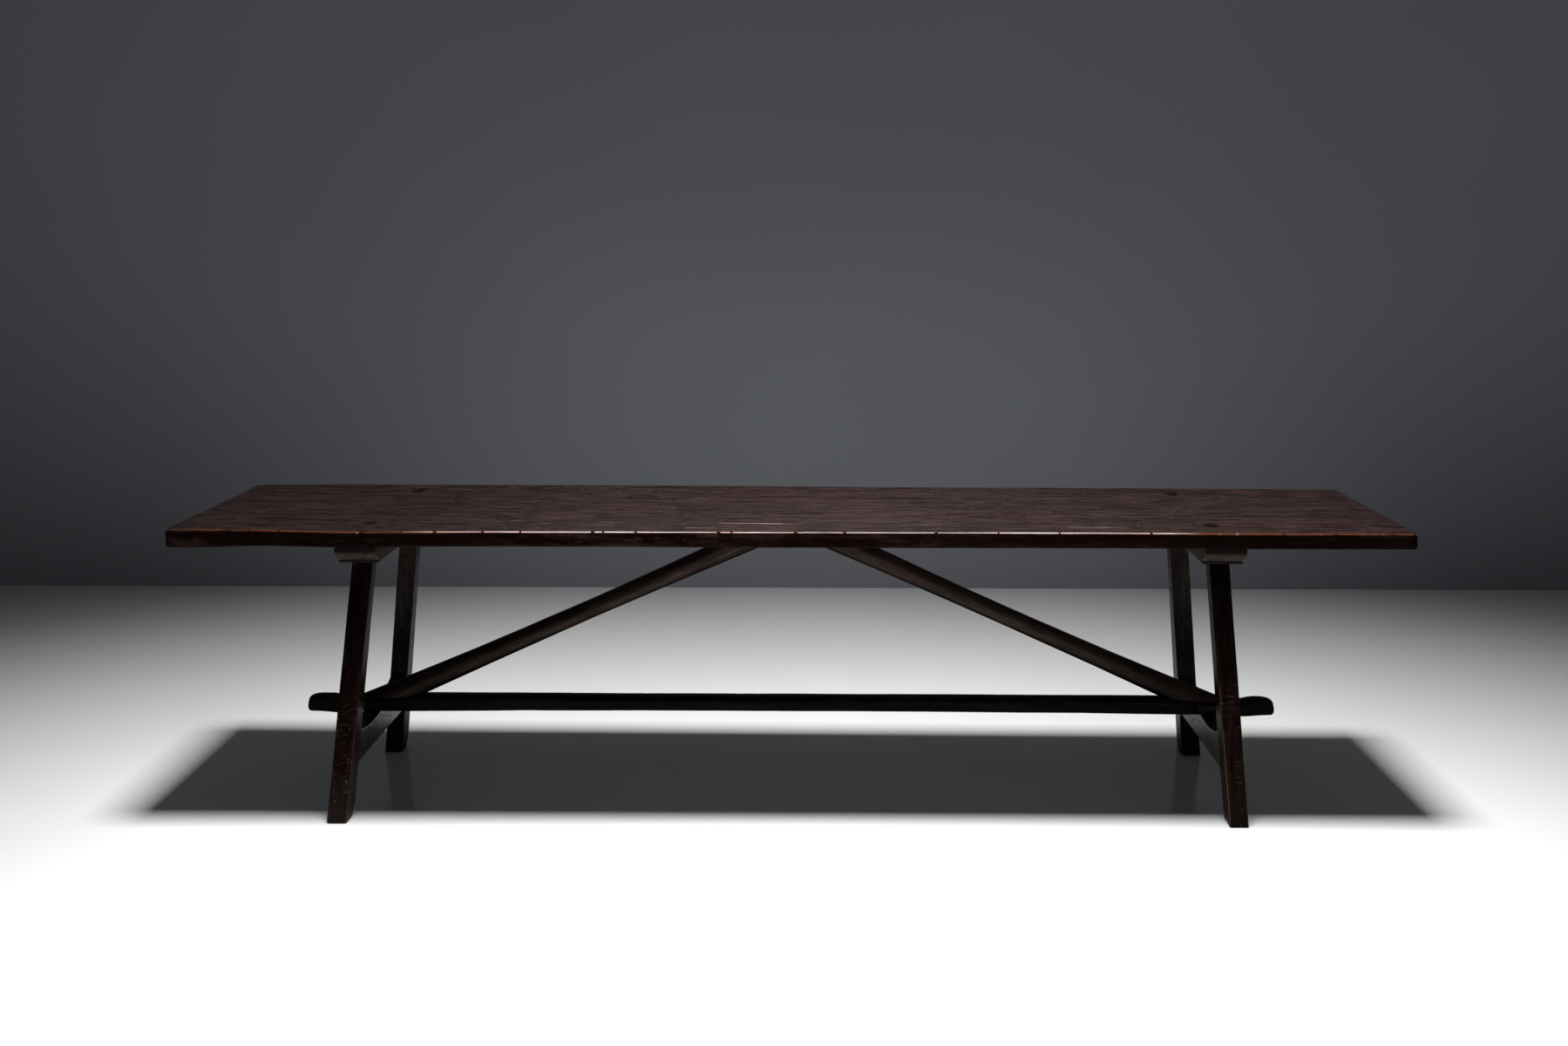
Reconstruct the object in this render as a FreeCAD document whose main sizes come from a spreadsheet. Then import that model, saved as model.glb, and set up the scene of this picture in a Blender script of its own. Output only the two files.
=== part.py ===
import FreeCAD, Part
import os
import Sketcher

# Long trestle dining table of solid walnut: a thick plank top on two cross
# battens, two pairs of splayed legs joined by shaped cross stretchers, one
# long stretcher lapped over them, and two diagonal braces up to the middle of
# the top. The plank is a little wider at its left end, and the two trestles
# are hand-fitted, each with sizes of its own. Millimetres, +Z up, +X along the
# table, origin on the floor under the middle of the top.

V = FreeCAD.Vector
doc = FreeCAD.newDocument("TrestleTable")

# ---------------------------------------------------------------- dimensions
DIMENSIONS = [
    # top plank, wider at its left end
    ("top_length", 3100), ("top_width_left", 818), ("top_width_right", 783),
    ("top_height", 760), ("top_thickness", 40), ("top_corner_radius", 14), ("top_arris", 4),
    # battens under the top
    ("left_batten_centre", 1078), ("right_batten_centre", 1083),
    ("left_batten_length", 810), ("right_batten_length", 786),
    ("batten_width", 102), ("batten_depth", 45), ("batten_flat", 14),
    ("batten_ovolo_back", 36), ("batten_ovolo_low", 7), ("batten_ovolo_radius", 36),
    ("batten_fillet_back", 43),
    ("tongue_wide", 74), ("tongue_neck", 66), ("tongue_high", 11),
    # legs: distance out from the middle per side, then depth
    ("left_foot_in", 1135.5), ("left_foot_out", 1182),
    ("left_top_in", 1059), ("left_top_out", 1107.5),
    ("right_foot_in", 1121), ("right_foot_out", 1167),
    ("right_top_in", 1056.5), ("right_top_out", 1104.5),
    ("leg_foot_near", 292), ("leg_foot_far", 372),
    ("leg_top_near", 262), ("leg_top_far", 312),
    ("leg_tenon_thick", 24), ("leg_tenon_deep", 20), ("leg_tenon_high", 26),
    ("leg_tenon_y", 298),
    # cross stretchers, measured along their lean
    ("left_rail_lean", 6.38), ("right_rail_lean", 5.37), ("rail_thick", 44),
    ("rail_low", 132.7), ("rail_low_flare", 118), ("rail_flare_start", 262),
    ("rail_end_y", 300), ("rail_flare_radius", 18),
    ("rail_shoulder_high", 240), ("rail_corner_y", 261), ("rail_corner_z", 224.2),
    ("rail_corner_radius", 26), ("rail_block_y", 36), ("rail_block_z", 215.3),
    ("rail_block_top_y", 31), ("rail_block_top", 230.2), ("rail_scoop_radius", 610),
    ("rail_tenon_thick", 20), ("rail_tenon_low", 146), ("rail_tenon_top", 198),
    ("rail_tenon_end", 329),
    # long stretcher: reach to the left and to the right, then section
    ("left_stretch_reach", 1309.5), ("right_stretch_reach", 1300.5),
    ("stretch_width", 54), ("stretch_low", 207), ("stretch_top", 248),
    ("stretch_flat", 30), ("stretch_arris", 233.5), ("tip_round", 28), ("tip_small", 8),
    # braces: blank outline, then the cuts that fit it
    ("brace_wide", 58), ("brace_out_x", 1257), ("brace_in_x", 17),
    ("left_brace_out_high", 209.7), ("left_brace_out_low", 133.6),
    ("left_brace_in_high", 772), ("left_brace_in_low", 702.1),
    ("right_brace_out_high", 208.4), ("right_brace_out_low", 131),
    ("right_brace_in_high", 773.8), ("right_brace_in_low", 705.9),
    ("brace_hollow_top", 16500), ("brace_hollow_low", 26500),
    ("left_brace_toe", 1155.5), ("right_brace_toe", 1147.5),
    ("brace_top_chamfer", 16), ("brace_low_chamfer", 8),
    # pegs
    ("top_peg_x", 1068.5), ("left_peg_front", 262), ("left_peg_rear", 316),
    ("right_peg_front", 271), ("right_peg_rear", 285),
    ("top_peg_radius", 9), ("top_peg_low", 704), ("top_peg_sunk", 3),
    ("leg_peg_radius", 4.5), ("leg_peg_end", 1058), ("leg_peg_z", 688),
    ("rail_peg_radius", 4.5), ("rail_peg_bury", 28), ("rail_peg_out", 14),
    ("rail_peg_y", 306), ("rail_peg_z", 178),
    ("lap_peg_radius", 5.5), ("left_lap_peg_x", 1134), ("right_lap_peg_x", 1123),
    ("lap_peg_low", 185),
    ("foot_peg_radius", 6), ("foot_peg_x", 1036.5), ("foot_peg_z", 227.5),
    ("foot_peg_long", 60), ("foot_peg_tilt", 23.8),
    ("head_peg_radius", 6), ("head_peg_x", 52), ("head_peg_low", 690),
    ("head_peg_high", 742),
]
sheet = doc.addObject("Spreadsheet::Sheet", "Params")
for row, (name, value) in enumerate(DIMENSIONS, start=1):
    sheet.set("A%d" % row, name)
    sheet.set("B%d" % row, "%g" % value)
    sheet.setAlias("B%d" % row, name)
doc.recompute()


class Dim:
    """A number of the sheet, or a sum of such numbers, with its expression."""

    def __init__(self, value, text):
        self.value = float(value)
        self.text = text

    def _of(self, other):
        return other if isinstance(other, Dim) else Dim(other, "%g" % other)

    def __add__(self, other):
        o = self._of(other)
        return Dim(self.value + o.value, "(%s + %s)" % (self.text, o.text))

    def __sub__(self, other):
        o = self._of(other)
        return Dim(self.value - o.value, "(%s - %s)" % (self.text, o.text))

    def __mul__(self, other):
        o = self._of(other)
        return Dim(self.value * o.value, "(%s * %s)" % (self.text, o.text))

    def __truediv__(self, other):
        o = self._of(other)
        return Dim(self.value / o.value, "(%s / %s)" % (self.text, o.text))

    def __neg__(self):
        return Dim(-self.value, "(-1 * %s)" % self.text)


D = dict((name, Dim(value, "Params." + name)) for name, value in DIMENSIONS)
ZERO = Dim(0, "0")

# Heights that follow from the others.
UNDER = D["top_height"] - D["top_thickness"]
BATTEN_LOW = UNDER - D["batten_depth"]


# ------------------------------------------------------------------ helpers
def body(label):
    b = doc.addObject("PartDesign::Body", label)
    b.Label = label
    return b


def origin_plane(b, role):
    return [f for f in b.Origin.OriginFeatures if f.Role == role][0]


def sketch(b, name, role, offset=None):
    s = b.newObject("Sketcher::SketchObject", name)
    s.AttachmentSupport = [(origin_plane(b, role), "")]
    s.MapMode = "FlatFace"
    if offset is not None:
        s.AttachmentOffset = FreeCAD.Placement(V(0, 0, offset.value), FreeCAD.Rotation())
        s.setExpression("AttachmentOffset.Base.z", offset.text)
    return s


def pin_point(s, geo, pos, x, y):
    """Holds one point of a sketch at x, y from the sketch's origin."""
    for kind, dim, axis in (("DistanceX", x, -2), ("DistanceY", y, -1)):
        if abs(dim.value) < 1e-9:
            s.addConstraint(Sketcher.Constraint("PointOnObject", geo, pos, axis))
        else:
            k = s.addConstraint(Sketcher.Constraint(kind, -1, 1, geo, pos, dim.value))
            s.setExpression("Constraints[%d]" % k, dim.text)


def outline(s, points, arcs=None):
    """Closed outline through points; arcs maps a segment's number to its
    radius and to +1 or -1, the side its centre lies on (left is +1)."""
    arcs = arcs or {}
    n = len(points)
    ends = []
    for i in range(n):
        (x0, y0), (x1, y1) = points[i], points[(i + 1) % n]
        a, b = V(x0.value, y0.value, 0), V(x1.value, y1.value, 0)
        if i in arcs:
            radius, side = arcs[i]
            chord = b - a
            half = chord.Length / 2.0
            rise = (radius.value ** 2 - half ** 2) ** 0.5
            left = V(-chord.y, chord.x, 0).normalize()
            centre = (a + b) * 0.5 + left * (rise * side)
            bulge = centre - left * (radius.value * side)
            if side > 0:
                arc = Part.Arc(a, bulge, b)
            else:
                arc = Part.Arc(b, bulge, a)
            g = s.addGeometry(arc.toShape().Curve.trim(*arc.toShape().ParameterRange)
                              if not isinstance(arc, Part.ArcOfCircle) else arc, False)
            start = s.Geometry[g].StartPoint
            first = 1 if (start - a).Length < 1e-6 else 2
            ends.append((g, first, 3 - first))
            k = s.addConstraint(Sketcher.Constraint("Radius", g, radius.value))
            s.setExpression("Constraints[%d]" % k, radius.text)
        else:
            g = s.addGeometry(Part.LineSegment(a, b), False)
            ends.append((g, 1, 2))
    for i in range(n):
        g, _, last = ends[i]
        g2, first, _ = ends[(i + 1) % n]
        s.addConstraint(Sketcher.Constraint("Coincident", g, last, g2, first))
    for i in range(n):
        g, first, _ = ends[i]
        pin_point(s, g, first, points[i][0], points[i][1])


def rectangle(s, x0, x1, y0, y1):
    outline(s, [(x0, y0), (x1, y0), (x1, y1), (x0, y1)])


def pad(b, s, length, symmetric=False, name="Pad"):
    p = b.newObject("PartDesign::Pad", b.Label + "_" + name)
    p.Profile = s
    p.Length = length.value
    p.setExpression("Length", length.text)
    p.SideType = "Symmetric" if symmetric else "One side"
    b.Tip = p
    return p


def pocket(b, s, length, name="Pocket"):
    """Cuts to both sides of the sketch, and makes sure that it did cut."""
    doc.recompute()
    before = b.Shape.Volume
    p = b.newObject("PartDesign::Pocket", b.Label + "_" + name)
    p.Profile = s
    p.Length = length.value
    p.setExpression("Length", length.text)
    p.SideType = "Symmetric"
    b.Tip = p
    doc.recompute()
    if not b.Shape.Volume < before - 1.0:
        raise RuntimeError("nothing was cut by " + p.Name)
    return p


def edges_where(shape, test):
    return ["Edge%d" % (i + 1) for i, e in enumerate(shape.Edges) if test(e)]


def fillet(b, base, names, radius, name):
    f = b.newObject("PartDesign::Fillet", b.Label + "_" + name)
    f.Base = (base, names)
    f.Radius = radius.value
    f.setExpression("Radius", radius.text)
    b.Tip = f
    return f


def chamfer(b, base, names, size, name):
    c = b.newObject("PartDesign::Chamfer", b.Label + "_" + name)
    c.Base = (base, names)
    c.Size = size.value
    c.setExpression("Size", size.text)
    b.Tip = c
    return c


def peg(label, radius, length, x, y, z, axis=None, angle=None):
    """Round peg; its lower end is at x, y, z."""
    c = doc.addObject("Part::Cylinder", label)
    c.Label = label
    c.Radius = radius.value
    c.setExpression("Radius", radius.text)
    c.Height = length.value
    c.setExpression("Height", length.text)
    turn = FreeCAD.Rotation(axis, angle.value) if axis is not None else FreeCAD.Rotation()
    c.Placement = FreeCAD.Placement(V(x.value, y.value, z.value), turn)
    c.setExpression("Placement.Base.x", x.text)
    c.setExpression("Placement.Base.y", y.text)
    c.setExpression("Placement.Base.z", z.text)
    return c


def group(label, members):
    g = doc.addObject("Part::Compound", label)
    g.Label = label
    g.Links = members
    return g


def cut(label, base, tool):
    c = doc.addObject("Part::Cut", label)
    c.Label = label
    c.Base = base
    c.Tool = tool
    return c


def mirrored(label, source, normal):
    m = doc.addObject("Part::Mirroring", label)
    m.Label = label
    m.Source = source
    m.Base = V(0, 0, 0)
    m.Normal = normal
    return m


ACROSS_X = V(1, 0, 0)
ACROSS_Y = V(0, 1, 0)

# ----------------------------------------------------------------- trestles
# Each trestle is worked out on the right-hand side of the middle with its own
# sizes, and the left-hand one is then mirrored to its place.
QUARTER = Dim(90, "90")
TO_X = V(0, 1, 0)
NECK, WIDE = D["tongue_neck"] / 2, D["tongue_wide"] / 2
TOP_PEG_LONG = D["top_height"] - D["top_peg_sunk"] - D["top_peg_low"]
# Holes of the top pegs run on through the upper face, as the pegs have sunk.
TOP_HOLE_LONG = TOP_PEG_LONG + D["top_peg_sunk"] + 5


def trestle(side):
    """Pieces and tools of one trestle, under their final labels."""
    left = side == "left"
    own = lambda name: D[side + "_" + name]
    tag = lambda name: name + "_" + side
    made = {}

    def settle(name, build):
        """Builds a piece or tool, mirrored to the left where it belongs."""
        label = tag(name)
        master = build(label + "_master" if left else label)
        made[name] = mirrored(label, master, ACROSS_X) if left else master
        return master

    centre = own("batten_centre")

    # Pegs.
    def pegs_of(name, radius, long, x, front, rear, z, axis=None, angle=None):
        return [peg(tag(name + "_front"), radius, long, x, -front, z, axis, angle),
                peg(tag(name + "_rear"), radius, long, x, rear, z, axis, angle)]

    top_pegs = pegs_of("top_peg", D["top_peg_radius"], TOP_PEG_LONG, D["top_peg_x"],
                       own("peg_front"), own("peg_rear"), D["top_peg_low"])
    settle("top_pegs", lambda label: group(label, top_pegs))
    top_holes = pegs_of("top_hole", D["top_peg_radius"], TOP_HOLE_LONG, D["top_peg_x"],
                        own("peg_front"), own("peg_rear"), D["top_peg_low"])
    holes = settle("top_holes", lambda label: group(label, top_holes))

    leg_pegs = pegs_of("leg_peg", D["leg_peg_radius"],
                       centre + D["batten_width"] / 2 - D["leg_peg_end"], D["leg_peg_end"],
                       D["leg_tenon_y"], D["leg_tenon_y"], D["leg_peg_z"], TO_X, QUARTER)
    leg_tenon_pegs = settle("leg_tenon_pegs", lambda label: group(label, leg_pegs))

    foot_x = (own("foot_in") + own("foot_out")) / 2
    slope = (own("foot_in") + own("foot_out") - own("top_in") - own("top_out")) / 2 / BATTEN_LOW
    at_peg = foot_x - slope * D["rail_peg_z"]
    rail_pegs = pegs_of("rail_peg", D["rail_peg_radius"], D["rail_peg_bury"] + D["rail_peg_out"],
                        at_peg - D["rail_peg_bury"] + 8, D["rail_peg_y"], D["rail_peg_y"],
                        D["rail_peg_z"], TO_X, QUARTER)
    rail_tenon_pegs = settle("rail_tenon_pegs", lambda label: group(label, rail_pegs))

    lap_peg = settle("lap_peg", lambda label: peg(
        label, D["lap_peg_radius"], D["stretch_top"] - D["lap_peg_low"],
        own("lap_peg_x"), ZERO, D["lap_peg_low"]))
    foot_peg = settle("brace_foot_peg", lambda label: peg(
        label, D["foot_peg_radius"], D["foot_peg_long"], D["foot_peg_x"], ZERO,
        D["foot_peg_z"], TO_X, D["foot_peg_tilt"]))
    head_peg = settle("brace_head_peg", lambda label: peg(
        label, D["head_peg_radius"], D["head_peg_high"] - D["head_peg_low"],
        D["head_peg_x"], ZERO, D["head_peg_low"]))

    # Leg blank, the rear one: tapered between two rectangles, tenon on top.
    leg = body(tag("leg_blank"))
    s0 = sketch(leg, tag("leg_foot"), "XY_Plane")
    rectangle(s0, own("foot_in"), own("foot_out"), D["leg_foot_near"], D["leg_foot_far"])
    s1 = sketch(leg, tag("leg_top"), "XY_Plane", BATTEN_LOW)
    rectangle(s1, own("top_in"), own("top_out"), D["leg_top_near"], D["leg_top_far"])
    loft = leg.newObject("PartDesign::AdditiveLoft", tag("leg_loft"))
    loft.Profile = s0
    loft.Sections = [s1]
    loft.Ruled = True
    leg.Tip = loft
    s = sketch(leg, tag("leg_tenon"), "XY_Plane", BATTEN_LOW)
    rectangle(s, centre - D["leg_tenon_thick"] / 2, centre + D["leg_tenon_thick"] / 2,
              D["leg_tenon_y"] - D["leg_tenon_deep"] / 2, D["leg_tenon_y"] + D["leg_tenon_deep"] / 2)
    pad(leg, s, D["leg_tenon_high"], name="Tenon")
    leg_front = mirrored(tag("leg_front_blank"), leg, ACROSS_Y)
    both_legs = group(tag("both_leg_blanks"), [leg, leg_front])

    # Cross stretcher: shaped board that leans with the legs, flat below and
    # scooped above on both sides of a block that carries the long stretcher.
    rail = body(tag("rail_blank"))
    s = sketch(rail, tag("rail_side"), "YZ_Plane")
    half = [
        (D["rail_flare_start"], D["rail_low"]),
        (D["rail_end_y"] - 20, D["rail_low_flare"]),
        (D["rail_end_y"], D["rail_low_flare"]),
        (D["rail_end_y"], D["rail_shoulder_high"]),
        (D["rail_end_y"] - 22, D["rail_shoulder_high"]),
        (D["rail_corner_y"], D["rail_corner_z"]),
        (D["rail_block_y"], D["rail_block_z"]),
        (D["rail_block_top_y"], D["rail_block_top"]),
    ]
    points = half + [(-y, z) for y, z in reversed(half)]
    n = len(half)
    outline(s, points, {
        0: (D["rail_flare_radius"], -1), 4: (D["rail_corner_radius"], -1),
        5: (D["rail_scoop_radius"], -1),
        n + 1: (D["rail_scoop_radius"], -1), n + 2: (D["rail_corner_radius"], -1),
        n + 6: (D["rail_flare_radius"], -1)})
    pad(rail, s, D["rail_thick"], symmetric=True)
    bar = body(tag("rail_tenon_bar"))
    s = sketch(bar, tag("rail_tenons"), "YZ_Plane")
    rectangle(s, -D["rail_tenon_end"], D["rail_tenon_end"], D["rail_tenon_low"], D["rail_tenon_top"])
    pad(bar, s, D["rail_tenon_thick"], symmetric=True)
    for b in (rail, bar):
        b.Placement = FreeCAD.Placement(V(foot_x.value, 0, 0),
                                        FreeCAD.Rotation(V(0, 1, 0), -own("rail_lean").value))
        b.setExpression("Placement.Base.x", foot_x.text)
    shouldered = cut(tag("rail_shouldered"), rail, both_legs)

    def fuse(label):
        f = doc.addObject("Part::Fuse", label)
        f.Label = label
        f.Base = shouldered
        f.Tool = bar
        return f

    rail_whole = settle("rail_whole", fuse)
    rail_bores = group(tag("rail_bores"), [rail_tenon_pegs, lap_peg])
    settle("cross_stretcher", lambda label: cut(label, rail_whole, rail_bores))

    # Legs take the rail's tenons and the pegs.
    mortised = cut(tag("leg_mortised"), leg, bar)
    leg_bores = group(tag("leg_bores"), [leg_pegs[1], rail_pegs[1]])
    rear = settle("leg_rear", lambda label: cut(label, mortised, leg_bores))
    settle("leg_front", lambda label: mirrored(label, rear, ACROSS_Y))

    # Batten: side outline with moulded ends, then the dovetail tongue on top.
    beam = body(tag("batten_blank"))
    s = sketch(beam, tag("batten_side"), "YZ_Plane", centre)
    end = own("batten_length") / 2
    half = [
        (end - D["batten_fillet_back"], BATTEN_LOW),
        (end - D["batten_fillet_back"], BATTEN_LOW + D["batten_ovolo_low"]),
        (end - D["batten_ovolo_back"], BATTEN_LOW + D["batten_ovolo_low"]),
        (end, UNDER - D["batten_flat"]),
        (end, UNDER),
    ]
    points = half + [(-y, z) for y, z in reversed(half)]
    n = len(half)
    outline(s, points, {2: (D["batten_ovolo_radius"], 1), n + 1: (D["batten_ovolo_radius"], 1)})
    pad(beam, s, D["batten_width"], symmetric=True)
    s = sketch(beam, tag("batten_tongue"), "XZ_Plane")
    outline(s, [(centre - NECK, UNDER), (centre + NECK, UNDER),
                (centre + WIDE, UNDER + D["tongue_high"]),
                (centre - WIDE, UNDER + D["tongue_high"])])
    pad(beam, s, own("batten_length"), symmetric=True, name="Tongue")
    batten_mortised = cut(tag("batten_mortised"), beam, both_legs)
    batten_bores = group(tag("batten_bores"), [holes, leg_tenon_pegs])
    settle("batten", lambda label: cut(label, batten_mortised, batten_bores))

    # Brace: hollow on its upper and lower sides, chamfered along its four long
    # edges, then trimmed to the stretcher, the underside and the middle.
    stick = body(tag("brace_blank"))
    s = sketch(stick, tag("brace_side"), "XZ_Plane")
    outline(s, [(D["brace_out_x"], own("brace_out_low")), (D["brace_out_x"], own("brace_out_high")),
                (-D["brace_in_x"], own("brace_in_high")), (-D["brace_in_x"], own("brace_in_low"))],
            {1: (D["brace_hollow_top"], -1), 3: (D["brace_hollow_low"], -1)})
    p = pad(stick, s, D["brace_wide"], symmetric=True)
    doc.recompute()
    reach = D["brace_wide"].value / 2

    def long_edge(e, upper):
        a, b = e.Vertexes[0].Point, e.Vertexes[-1].Point
        if abs(a.x - b.x) < 500 or abs(abs(a.y) - reach) > 0.01:
            return False
        return (max(a.z, b.z) > own("brace_in_low").value + 1) == upper

    p = chamfer(stick, p, edges_where(p.Shape, lambda e: long_edge(e, True)),
                D["brace_top_chamfer"], "TopChamfer")
    doc.recompute()
    p = chamfer(stick, p, edges_where(p.Shape, lambda e: long_edge(e, False)),
                D["brace_low_chamfer"], "LowChamfer")
    room = doc.addObject("Part::Box", tag("brace_room"))
    room.setExpression("Length", own("brace_toe").text)
    room.setExpression("Width", (D["brace_wide"] + 20).text)
    room.setExpression("Height", (UNDER - D["stretch_top"]).text)
    room.setExpression("Placement.Base.y", (-(D["brace_wide"] + 20) / 2).text)
    room.setExpression("Placement.Base.z", D["stretch_top"].text)
    fitted = doc.addObject("Part::Common", tag("brace_fitted"))
    fitted.Base = stick
    fitted.Tool = room
    brace_bores = group(tag("brace_bores"), [foot_peg, head_peg])
    settle("brace", lambda label: cut(label, fitted, brace_bores))
    return made


RIGHT = trestle("right")
LEFT = trestle("left")

# ---------------------------------------------------------------------- top
plank = body("top_plank")
s = sketch(plank, "top_plan", "XY_Plane", UNDER)
end, half_left, half_right = D["top_length"] / 2, D["top_width_left"] / 2, D["top_width_right"] / 2
outline(s, [(-end, -half_left), (end, -half_right), (end, half_right), (-end, half_left)])
p = pad(plank, s, D["top_thickness"])
doc.recompute()
upright = edges_where(p.Shape, lambda e: abs(e.Vertexes[0].Z - e.Vertexes[-1].Z) > 1)
p = fillet(plank, p, upright, D["top_corner_radius"], "Corners")
doc.recompute()
high = D["top_height"].value
rim = edges_where(p.Shape, lambda e: all(abs(v.Z - high) < 0.01 for v in e.Vertexes))
p = fillet(plank, p, rim[:1], D["top_arris"], "Arris")
# Two dovetail housings right across the underside.
for name, middle in (("right", D["right_batten_centre"]), ("left", -D["left_batten_centre"])):
    s = sketch(plank, "housing_" + name, "XZ_Plane")
    outline(s, [(middle - NECK, UNDER), (middle + NECK, UNDER),
                (middle + WIDE, UNDER + D["tongue_high"]),
                (middle - WIDE, UNDER + D["tongue_high"])])
    pocket(plank, s, D["top_width_left"] + 40, "Housing_" + name)
top_bores = group("top_bores", [RIGHT["top_holes"], LEFT["top_holes"],
                                RIGHT["brace_head_peg"], LEFT["brace_head_peg"]])
tabletop = cut("tabletop", plank, top_bores)

# ---------------------------------------------------------- long stretcher
# Rail with two upper chamfers and rounded ends, lapped over both blocks.
long_bar = body("stretcher_blank")
s = sketch(long_bar, "stretcher_section", "YZ_Plane", -D["left_stretch_reach"])
side, flat = D["stretch_width"] / 2, D["stretch_flat"] / 2
outline(s, [(-side, D["stretch_low"]), (side, D["stretch_low"]), (side, D["stretch_arris"]),
            (flat, D["stretch_top"]), (-flat, D["stretch_top"]), (-side, D["stretch_arris"])])
pad(long_bar, s, D["left_stretch_reach"] + D["right_stretch_reach"])
for name, sign in (("right", 1), ("left", -1)):
    reach = D[name + "_stretch_reach"]
    tip = reach if sign > 0 else -reach
    for place, corner_z, up, radius in (("upper", D["stretch_top"], 1, D["tip_round"]),
                                        ("lower", D["stretch_low"], -1, D["tip_small"])):
        s = sketch(long_bar, "tip_%s_%s" % (place, name), "XZ_Plane")
        inner = tip - radius if sign > 0 else tip + radius
        level = corner_z - radius if up > 0 else corner_z + radius
        # waste between the square corner and the round, carried 1 mm clear
        out_x = tip + 1 if sign > 0 else tip - 1
        out_z = corner_z + 1 if up > 0 else corner_z - 1
        outline(s, [(inner, corner_z), (inner, out_z), (out_x, out_z), (out_x, level), (tip, level)],
                {4: (radius, 1 if sign * up > 0 else -1)})
        pocket(long_bar, s, D["stretch_width"] + 20, "Tip_%s_%s" % (place, name))
stretcher_lapped = cut("stretcher_lapped", long_bar,
                       group("both_rails", [RIGHT["rail_whole"], LEFT["rail_whole"]]))
long_stretcher = cut("long_stretcher", stretcher_lapped,
                     group("stretcher_bores", [RIGHT["lap_peg"], LEFT["lap_peg"],
                                               RIGHT["brace_foot_peg"], LEFT["brace_foot_peg"]]))

doc.recompute()

# ------------------------------------------------------------------- output
PAIRED = ["batten", "leg_front", "leg_rear", "cross_stretcher", "brace",
          "top_pegs", "leg_tenon_pegs", "rail_tenon_pegs", "lap_peg",
          "brace_foot_peg", "brace_head_peg"]
PIECES = [tabletop, long_stretcher]
for name in PAIRED:
    PIECES += [LEFT[name], RIGHT[name]]
failed = [o.Name for o in doc.Objects if "Invalid" in o.State or "Error" in o.State]
if failed:
    raise RuntimeError("failed objects: " + ", ".join(failed))
for piece in PIECES:
    shape = piece.Shape
    if shape.isNull() or not shape.isValid() or not shape.Solids:
        raise RuntimeError("bad shape: " + piece.Label)

os.makedirs("parts", exist_ok=True)
for piece in PIECES:
    piece.Shape.exportStep(os.path.join("parts", piece.Label + ".step"))
    box = piece.Shape.BoundBox
    print("%-24s solids %d  volume %9.1f cm3  x %.1f..%.1f  y %.1f..%.1f  z %.1f..%.1f" % (
        piece.Label, len(piece.Shape.Solids), piece.Shape.Volume / 1000.0,
        box.XMin, box.XMax, box.YMin, box.YMax, box.ZMin, box.ZMax))
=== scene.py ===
import math

import bpy
import numpy as np
from mathutils import Matrix


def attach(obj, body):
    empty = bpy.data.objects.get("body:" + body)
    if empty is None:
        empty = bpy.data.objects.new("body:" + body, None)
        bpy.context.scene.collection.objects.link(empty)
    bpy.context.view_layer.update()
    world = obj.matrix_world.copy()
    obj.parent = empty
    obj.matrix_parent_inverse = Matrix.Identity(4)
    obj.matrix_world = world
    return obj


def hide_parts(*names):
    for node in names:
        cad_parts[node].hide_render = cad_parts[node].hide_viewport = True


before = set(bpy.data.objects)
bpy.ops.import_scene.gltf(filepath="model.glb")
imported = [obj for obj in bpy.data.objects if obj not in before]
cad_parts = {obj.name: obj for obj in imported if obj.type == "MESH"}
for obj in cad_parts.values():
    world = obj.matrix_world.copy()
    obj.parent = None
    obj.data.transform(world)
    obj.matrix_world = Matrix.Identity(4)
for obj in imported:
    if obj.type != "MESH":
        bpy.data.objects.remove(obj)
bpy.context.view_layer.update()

SCENE = bpy.context.scene

# ------------------------------------------------------------------- sizes
# All in metres. The two trestles are worked out on the +X side, each with its
# own sizes, and the left one is mirrored to its place.
END = 1.550
TOP, UNDER, BATTEN_LOW = 0.760, 0.720, 0.675
TONGUE_TOP = 0.731
SIDES = {
    "left": dict(sign=-1, foot=(1.1355, 1.1820), head=(1.0590, 1.1075), batten=1.078,
                 batten_long=0.810, lean=6.38, rail_x=1.15875, toe=1.1555,
                 upper=(0.2097, 0.7720), lower=(0.1336, 0.7021), peg_y=(-0.262, 0.316),
                 lap_x=1.134, seed=11),
    "right": dict(sign=1, foot=(1.1210, 1.1670), head=(1.0565, 1.1045), batten=1.083,
                  batten_long=0.786, lean=5.37, rail_x=1.144, toe=1.1475,
                  upper=(0.2084, 0.7738), lower=(0.1310, 0.7059), peg_y=(-0.271, 0.285),
                  lap_x=1.123, seed=47),
}
TOP_PEG_X = 1.0685


# ------------------------------------------------------------------- noise
def lattice(i, j, k, seed):
    h = (i * 374761393 + j * 668265263 + k * 1440662683 + seed * 974711) & 0xFFFFFFFF
    h = ((h ^ (h >> 13)) * 1274126177) & 0xFFFFFFFF
    return ((h ^ (h >> 16)) & 0xFFFF) / 32767.5 - 1.0


def noise(x, y, z, seed=0):
    """Smooth value noise from -1 to 1."""
    x, y, z = np.broadcast_arrays(*(np.asarray(c, float) for c in (x, y, z)))
    cells, steps = [], []
    for c in (x, y, z):
        low = np.floor(c)
        t = c - low
        cells.append(low.astype(np.int64))
        steps.append(t * t * (3 - 2 * t))
    total = np.zeros(x.shape)
    for i in (0, 1):
        for j in (0, 1):
            for k in (0, 1):
                w = ((steps[0] if i else 1 - steps[0]) * (steps[1] if j else 1 - steps[1])
                     * (steps[2] if k else 1 - steps[2]))
                total += w * lattice(cells[0] + i, cells[1] + j, cells[2] + k, seed)
    return total


def ease(t):
    t = np.clip(t, 0, 1)
    return t * t * (3 - 2 * t)


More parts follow.
